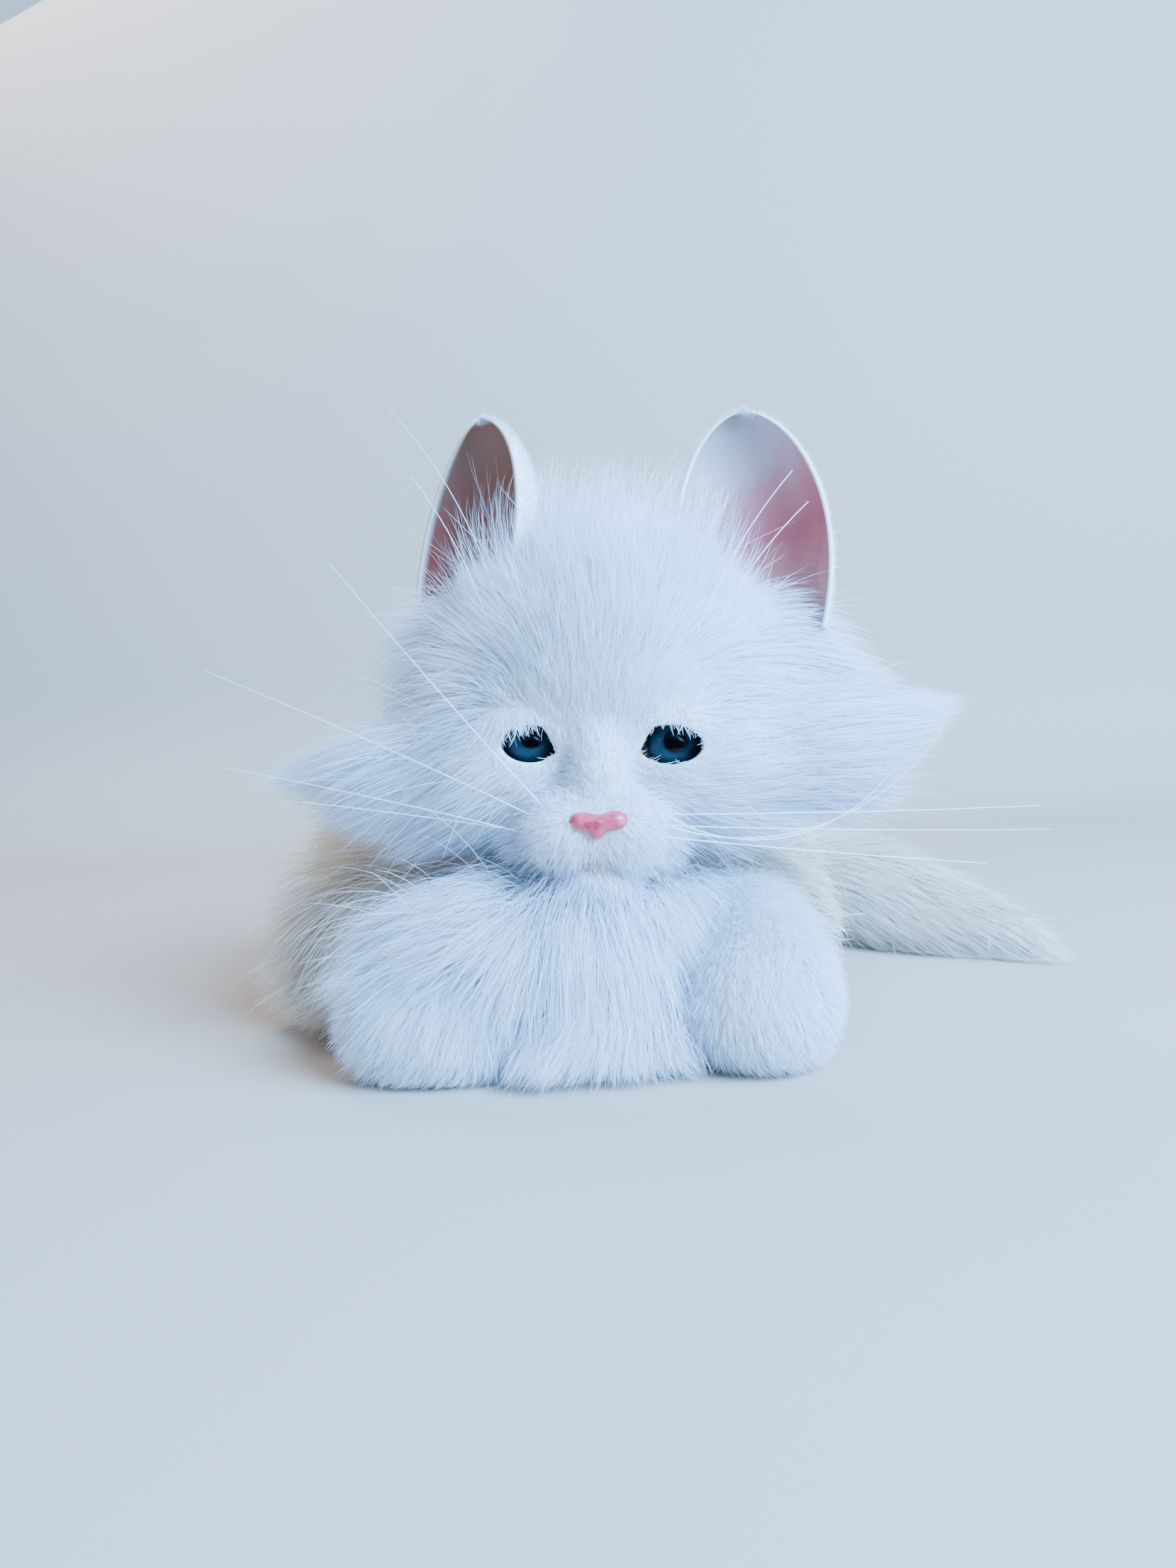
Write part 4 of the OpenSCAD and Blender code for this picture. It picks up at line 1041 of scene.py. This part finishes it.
def ear_point(side, u, v, depth=0.0):
    """A point on an ear's sheet: u goes round it from -1 to 1, v from base to tip, depth behind its front."""
    half = EAR_RADIUS[side] * math.sqrt(max(1 - v ** 1.9, 0)) * (0.9 + 0.5 * v - 0.15 * v * v)
    around = u * math.radians(101 - 16 * v)
    r = half - min(depth, half * 0.4)
    if depth > 0:
        ridge = FOLD_AT[0] + FOLD_CURVE * math.sin(v * 15)
        across, along = (u * side - ridge) / FOLD_WIDTH, (v - FOLD_AT[1]) / FOLD_LENGTH
        r -= FOLD_HEIGHT * math.exp(-across ** 2) * math.exp(-along ** 2)
    x = r * math.sin(around)
    y = r * math.cos(around) * 0.8
    return np.array([x - side * 4.0 * v * v, y - 1.0 * v * v, v * EAR_HEIGHT])


def ear_axes(side, turn, base):
    """An ear's own axes; turn is how far it opens outwards, in degrees."""
    spin = np.array(Matrix.Rotation(math.radians(turn * side), 3, "Z"))
    pitch = np.array(Matrix.Rotation(EAR_PITCH, 3, "X"))
    return HEAD[0] + HEAD[1] @ np.array(base), HEAD[1] @ spin @ pitch


def ear_material(name, tones_and_shade):
    """Vinyl with pink sprayed into the hollow; tones are stops of (height, colour), which also paint shade into
    the hollow: darker and greyer where shade falls.
    """
    n = Nodes(name)
    uv = n.add("ShaderNodeSeparateXYZ")
    n.link(n.add("ShaderNodeUVMap", uv_map="ear").outputs["UV"], uv.inputs["Vector"])
    cloud = n.noise(90, detail=5, roughness=0.65)
    height = n.calc("ShaderNodeMath", "MULTIPLY_ADD", cloud, EAR_TONE_NOISE / EAR_TONE_SPAN, uv.outputs["Y"])[0]
    tint = n.ramp(height, [(at / EAR_TONE_SPAN, tone) for at, tone in tones_and_shade])
    n.colour(n.mix(uv.outputs["X"], (0.86, 0.83, 0.80), tint))
    n.bump(n.noise(1300), 0.1, 0.0003)
    n.set(rough=0.5, sub=0.1, sub_scale=0.003, specular=0.4)
    return n.mat


def thick_sheet(rows, cols):
    """The faces of a sheet with a front and a back of rows times cols points each, closed at its edges."""
    n = rows * cols
    faces = []
    for j in range(rows - 1):
        for i in range(cols - 1):
            a = j * cols + i
            faces.append((a, a + 1, a + cols + 1, a + cols))
            faces.append((n + a, n + a + cols, n + a + cols + 1, n + a + 1))
        for a in (j * cols, (j + 1) * cols - 1):
            quad = (a, a + cols, n + a + cols, n + a)
            faces.append(quad if a == j * cols else quad[::-1])
    for j in (0, rows - 1):
        for a in range(j * cols, (j + 1) * cols - 1):
            quad = (a, n + a, n + a + 1, a + 1)
            faces.append(quad if j == 0 else quad[::-1])
    return faces


def make_ear(side, node, turn, base, material, flock):
    """A moulded ear and its flock; side is -1 for the left one."""
    axes = ear_axes(side, turn, base)
    us, vs = np.linspace(-1, 1, EAR_COLS), np.sin(np.linspace(0, math.pi / 2, EAR_ROWS))
    front = np.array([[ear_point(side, u, v, EAR_WALL) for u in us] for v in vs])
    back = np.array([[ear_point(side, u, v) for u in us] for v in vs])
    verts = np.concatenate([front.reshape(-1, 3), back.reshape(-1, 3)])
    faces = thick_sheet(EAR_ROWS, EAR_COLS)
    ear = add_mesh(node + "_shell", place(verts, axes), faces, "head", material)
    layer = ear.data.uv_layers.new(name="ear")
    for loop in ear.data.loops:
        on_back, place_in_sheet = divmod(loop.vertex_index, EAR_ROWS * EAR_COLS)
        j, k = divmod(place_in_sheet, EAR_COLS)
        rim = min(1.0, (1 - abs(us[k])) * EDGE_PALE, (1 - vs[j]) * TIP_PALE)
        outer = 0.5 + 0.5 * us[k] * side
        height = vs[j] + EAR_TONE_TILT * (0.6 - outer)
        layer.data[loop.index].uv = (0.0 if on_back else rim, height / EAR_TONE_SPAN)
    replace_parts(ear, node)
    fuzz_on_ear(side, node + "_flock", back, axes, flock)


def fuzz_on_ear(side, name, back, axes, material):
    """The short flock on the back of an ear and on its rim."""
    rng = np.random.default_rng(40 + side)
    count = FLOCK
    j, i = rng.random(count) * (EAR_ROWS - 1.001), rng.random(count) * (EAR_COLS - 1.001)
    j0, i0 = j.astype(int), i.astype(int)
    fj, fi = (j - j0)[:, None], (i - i0)[:, None]
    p00, p01, p10, p11 = back[j0, i0], back[j0, i0 + 1], back[j0 + 1, i0], back[j0 + 1, i0 + 1]
    at = (p00 * (1 - fj) + p10 * fj) * (1 - fi) + (p01 * (1 - fj) + p11 * fj) * fi
    normal = unit(np.cross(p01 - p00, p10 - p00))
    normal *= np.where((normal * (at - (0, 0, 1) * at)).sum(1) < 0, -1, 1)[:, None]
    flow = unit(normal * 0.9 + np.array([0, 0, 0.7]) + rng.normal(scale=0.5, size=at.shape))
    length = rng.uniform(0.9, 1.9, count)[:, None]
    bend = rng.normal(scale=0.25, size=at.shape)
    paths = np.stack([at + flow * length * s + bend * length * s * s for s in (0, 0.5, 1.0)], axis=1)
    facing = unit(np.cross(flow, normal) + 0.2)
    ribbons(name, paths, facing, 0.22, axes, rng, "head", material, "ear_vinyl")


# ------------------------------------------------------------------ eyes, whiskers and nose

EYE_GAZE = {-1: (0.2, -1.0, 0.3), 1: (0.12, -1.0, 0.2)}
EYE_RINGS, EYE_SPOKES = 40, 64
EYE_CUT = math.radians(120)      # from its front to the flat that closes the ball
IRIS_ANGLE = math.radians(60)    # from the pupil's middle to the end of the printed rings


def eye_material(centre, gaze):
    """A printed iris under a clear dome: rings by the angle away from where the eye looks."""
    n = Nodes("eye")
    where = n.add("ShaderNodeTexCoord").outputs["Object"]
    away = n.calc("ShaderNodeVectorMath", "SUBTRACT", where, tuple(centre))[0]
    aim = n.calc("ShaderNodeVectorMath", "NORMALIZE", away)[0]
    dot = n.calc("ShaderNodeVectorMath", "DOT_PRODUCT", aim, tuple(gaze))["Value"]
    angle = n.calc("ShaderNodeMath", "ARCCOSINE", dot)[0]
    share = n.calc("ShaderNodeMath", "DIVIDE", angle, IRIS_ANGLE)[0]
    rings = n.ramp(share, [
        (0.0, (0.0005, 0.0005, 0.001)), (0.29, (0.0005, 0.0005, 0.001)), (0.32, (0.004, 0.02, 0.035)),
        (0.40, (0.009, 0.036, 0.05)), (0.60, (0.006, 0.024, 0.034)), (0.72, (0.003, 0.01, 0.015)),
        (0.79, (0.002, 0.005, 0.008)), (0.84, (0.10, 0.045, 0.03))
    ])
    streak = n.add("ShaderNodeTexNoise", Scale=14.0, Detail=6.0, Roughness=0.7)
    n.link(aim, streak.inputs["Vector"])
    dark = n.ramp(streak.outputs["Fac"], [(0.35, (0.6, 0.62, 0.65)), (0.65, (1.1, 1.1, 1.1))])
    n.colour(n.mix(1.0, rings, dark, "MULTIPLY"))
    n.set(rough=0.12, coat=0.1, coat_rough=0.03, specular=0.1)
    return n.mat


def make_eye(side, node):
    """An eyeball as rings round its front, with its iris; side is -1 for the left one."""
    centre = EYE_AT * (side, 1, 1)
    gaze = HEAD[1] @ unit(EYE_GAZE[side])
    verts = [centre + (0, -EYE_R, 0)]
    for i in range(1, EYE_RINGS + 1):
        a = EYE_CUT * i / EYE_RINGS
        for k in range(EYE_SPOKES):
            b = 2 * math.pi * k / EYE_SPOKES
            ring = EYE_R * math.sin(a)
            verts.append(centre + (ring * math.cos(b), -EYE_R * math.cos(a), ring * math.sin(b)))
    faces = [(0, 1 + k, 1 + (k + 1) % EYE_SPOKES) for k in range(EYE_SPOKES)]
    for i in range(EYE_RINGS - 1):
        for k in range(EYE_SPOKES):
            a, b = 1 + i * EYE_SPOKES + k, 1 + i * EYE_SPOKES + (k + 1) % EYE_SPOKES
            faces.append((a, a + EYE_SPOKES, b + EYE_SPOKES, b))
    faces.append(tuple(1 + (EYE_RINGS - 1) * EYE_SPOKES + k for k in range(EYE_SPOKES)))
    iris = eye_material(place([centre], HEAD)[0], gaze)
    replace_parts(add_mesh(node + "_ball", place(verts, HEAD), faces, "head", iris), node)


WHISKER_THINNED = (0.08, 0.16)   # mm off the radius at the root, and more of it at the far end


def make_whisker(node, material):
    """The same bristles as in the frame, drawn finer towards their tips."""
    bristle = frame["nodes"][node]
    mesh = bristle.data.copy()
    points, _ = mesh_arrays(mesh)
    normals = np.zeros(len(mesh.vertices) * 3)
    mesh.vertices.foreach_get("normal", normals)
    root = points[np.argmin(np.abs(inside(points, HEAD)[:, 0]))]
    away = np.linalg.norm(points - root, axis=1)
    thinner = WHISKER_THINNED[0] + WHISKER_THINNED[1] * away / away.max()
    mesh.vertices.foreach_set("co", (points - normals.reshape(-1, 3) * thinner[:, None] * MM).ravel())
    piece = add_piece(node + "_fine", mesh, "head", material, bristle.matrix_world)
    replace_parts(piece, node)


def make_nose(material):
    """A soft glossy nose: two wings, a bridge and a stem, smoothed together."""
    nose = Skin(HEAD, [
        ((1 - 4.4, -66.2, -4.4), (3.7, 2.9, 2.6)),
        ((1 + 4.6, -66.6, -4.0), (3.7, 2.9, 2.6)),
        ((1, -67.0, -4.8), (4.2, 2.8, 2.3)),
        ((0.6, -66.6, -7.2), (2.2, 2.2, 2.2)),
    ], blend=1.6)
    mesh = placed(nose.mesh("nose_form", voxel=0.32), HEAD)
    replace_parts(add_piece("nose_form", mesh, "head", material), "nose")


# ------------------------------------------------------------------ putting it together

make_camera()
make_stage()
make_lights()

# The long and the short pile are white; their blue tips and cool tints are painted cool light from the window.
# root, tip, cool and warm
FUR_WITH_PAINTED_COOL_LIGHT = fur_material("long_fur", (0.80, 0.82, 0.86), (0.82, 0.90, 0.98), (0.76, 0.88, 1.0), (0.94, 0.92, 0.89), 0.5)
# The body's pile: cream, darkened and warmed further as painted shade on the flank.
CREAM_FUR_AND_PAINTED_SHADE = fur_material("cream_fur_and_painted_shade", (0.66, 0.57, 0.45), (0.87, 0.79, 0.67), (0.89, 0.86, 0.81), (0.84, 0.73, 0.58))
PALE = fur_material("pale_fur", (0.74, 0.67, 0.58), (0.95, 0.90, 0.83), (0.94, 0.93, 0.92), (0.93, 0.85, 0.74))
# painted cool light on the short pile too: blue tips and a blue cool tint
SHORT_FUR_WITH_PAINTED_COOL_LIGHT = fur_material(
    "short_fur", (0.84, 0.87, 0.92), (0.84, 0.91, 0.98), (0.78, 0.89, 1.0), (0.94, 0.93, 0.91), 0.5)
BACKING = backing_material()
SILKY = {"stray": 0.18, "clumps": ((4.0, 0.3), (12.0, 0.25))}
LOOSE = {"stray": 0.24, "wave": 0.4, "clumps": ((5.0, 0.45), (14.0, 0.35))}
CURLY = {"sag": 0.2, "stray": 0.7, "wave": 0.5, "clumps": ((2.0, 0.4),)}
WISPY = {"sag": 0.05, "stray": 0.3, "wave": 0.4, "clumps": ((4.0, 0.6), (9.0, 0.3))}
FUZZY = {"sag": 0.1, "stray": 0.3, "wave": 0.1, "steps": 4, "clumps": ((2.5, 0.3), (7.0, 0.15))}

# the creamy pair carries the painted shade
# the long and soft pairs carry the painted cool light
LONG_WITH_PAINTED_COOL_LIGHT, CREAMY_AND_PAINTED_SHADE, PALER, SOFT_WITH_PAINTED_COOL_LIGHT = (FUR_WITH_PAINTED_COOL_LIGHT, "long_fur"), (CREAM_FUR_AND_PAINTED_SHADE, "long_fur"), (PALE, "long_fur"), (SHORT_FUR_WITH_PAINTED_COOL_LIGHT, "short_fur")

head = head_skin()
skin_piece("head_cloth", head, "head", "head_plush", BACKING)
coat("head_fur", head, head_combing(), 78000, 0.22, "head", LONG_WITH_PAINTED_COOL_LIGHT, 11, keep=clear_of_face, **SILKY)
coat("face_fuzz", head, curl_combing(), 60000, 0.16, "head", SOFT_WITH_PAINTED_COOL_LIGHT, 18, keep=on_face, **CURLY)
coat("head_wisps", head, wisp_combing(), 14000, 0.2, "head", LONG_WITH_PAINTED_COOL_LIGHT, 19, keep=on_crown, **WISPY)
chin = chin_skin()
skin_piece("chin_cloth", chin, "jaw_body", "chin_plush", BACKING)
coat("chin_fur", chin, chin_combing(), 6000, 0.18, "jaw_body", SOFT_WITH_PAINTED_COOL_LIGHT, 17, voxel=1.2, **FUZZY)

body = body_skin()
skin_piece("body_cloth", body, "body", "body_plush", BACKING)
coat("body_fur", body, body_combing(), 58000, 0.28, "body", CREAMY_AND_PAINTED_SHADE, 12, voxel=4.0, **LOOSE)
chest = chest_skin()
skin_piece("chest_cloth", chest, "body", "chest_plush", BACKING)
coat("chest_fur", chest, chest_combing(), 32000, 0.22, "body", LONG_WITH_PAINTED_COOL_LIGHT, 13, voxel=3.0, **LOOSE)

LEGS = [                 # label, body, node, thickness, combing, fur, style and seed
    ("left", "body", "paw_left_plush", 34, left_leg_combing, (FUR_WITH_PAINTED_COOL_LIGHT, "short_fur"), SILKY, 14),
    ("right", "front_leg", "leg_plush", 43, right_leg_combing, SOFT_WITH_PAINTED_COOL_LIGHT, FUZZY, 15),
]
for label, rides, node, high, combing, fur, style, seed in LEGS:
    low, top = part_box(node)
    paw = ((low.x + top.x) / 2 / MM, low.y / MM + PAW_FRONT)
    leg = leg_skin(paw, high)
    skin_piece("leg_cloth_" + label, leg, rides, node, BACKING)
    coat("leg_fur_" + label, leg, combing(paw), 28000, 0.2, rides, fur, seed, **style)

tail = tail_skin()
skin_piece("tail_cloth", tail, "tail", "tail_plush", BACKING)
coat("tail_fur", tail, tail_combing(), 26000, 0.26, "tail", PALER, 16, voxel=3.0, **SILKY)

# The left ear's hollow is the same pink, painted in shade: deep red-brown low down and taupe at the top.
LEFT_EAR_TONES_IN_PAINTED_SHADE = [
    (0.10, (0.32, 0.05, 0.025)), (0.50, (0.31, 0.06, 0.04)), (0.78, (0.28, 0.11, 0.075)), (1.1, (0.27, 0.15, 0.11))
]
# The right ear's pink, with painted shade greying and darkening it towards the top.
RIGHT_EAR_TONES_AND_PAINTED_SHADE = [
    (0.30, (0.74, 0.30, 0.22)), (0.66, (0.56, 0.12, 0.12)), (0.86, (0.58, 0.24, 0.23)), (1.0, (0.54, 0.40, 0.42)),
    (1.12, (0.44, 0.39, 0.41)), (1.28, (0.28, 0.25, 0.24))
]
make_ear(-1, "ear_left", 47, (-45.5, -4, 48), ear_material("ear_vinyl_left_in_painted_shade", LEFT_EAR_TONES_IN_PAINTED_SHADE), SHORT_FUR_WITH_PAINTED_COOL_LIGHT)
make_ear(1, "ear_right", -8, (48.5, -4, 51), ear_material("ear_vinyl_right_and_painted_shade", RIGHT_EAR_TONES_AND_PAINTED_SHADE), SHORT_FUR_WITH_PAINTED_COOL_LIGHT)
make_eye(-1, "eye_left")
make_eye(1, "eye_right")
BRISTLE = bristle_material()
for node, slot in SLOTS.items():
    if slot == "bristle":
        make_whisker(node, BRISTLE)
make_nose(gloss("nose", (0.50, 0.008, 0.03), (0.95, 0.13, 0.18), rough=0.4, coat=0.25, bump=0.6, scale=260))

MATERIALS = {
    "steel": metal("steel", (0.62, 0.62, 0.63), 0.3),
    "brass": metal("brass", (0.78, 0.58, 0.26), 0.28),
    "cell_wrap": gloss("cell_wrap", (0.03, 0.03, 0.035), (0.06, 0.06, 0.07)),
    "board": gloss("board", (0.02, 0.13, 0.06), (0.03, 0.18, 0.08)),
    "mouth": gloss("mouth", (0.50, 0.25, 0.27), (0.62, 0.34, 0.36), rough=0.45, coat=0.1),
}
PLASTICS = {             # colour, roughness, and for the rougher ones grain and bump
    "white_shell": ((0.84, 0.84, 0.82), 0.5),
    "grey_plastic": ((0.20, 0.21, 0.22), 0.5),
    "switch_knob": ((0.03, 0.03, 0.03), 0.4),
    "chip": ((0.03, 0.03, 0.035), 0.5),
    "gear_nylon": ((0.82, 0.80, 0.72), 0.45),
    "speaker_paper": ((0.04, 0.04, 0.045), 0.8, 3000, 0.3),
    "eyelid": ((0.80, 0.77, 0.74), 0.6, 3000, 0.3),
}
MATERIALS.update({name: plastic(name, *look) for name, look in PLASTICS.items()})
for node, piece in frame["nodes"].items():
    if SLOTS[node] in MATERIALS:
        for material_slot in piece.material_slots:
            material_slot.material = MATERIALS[SLOTS[node]]
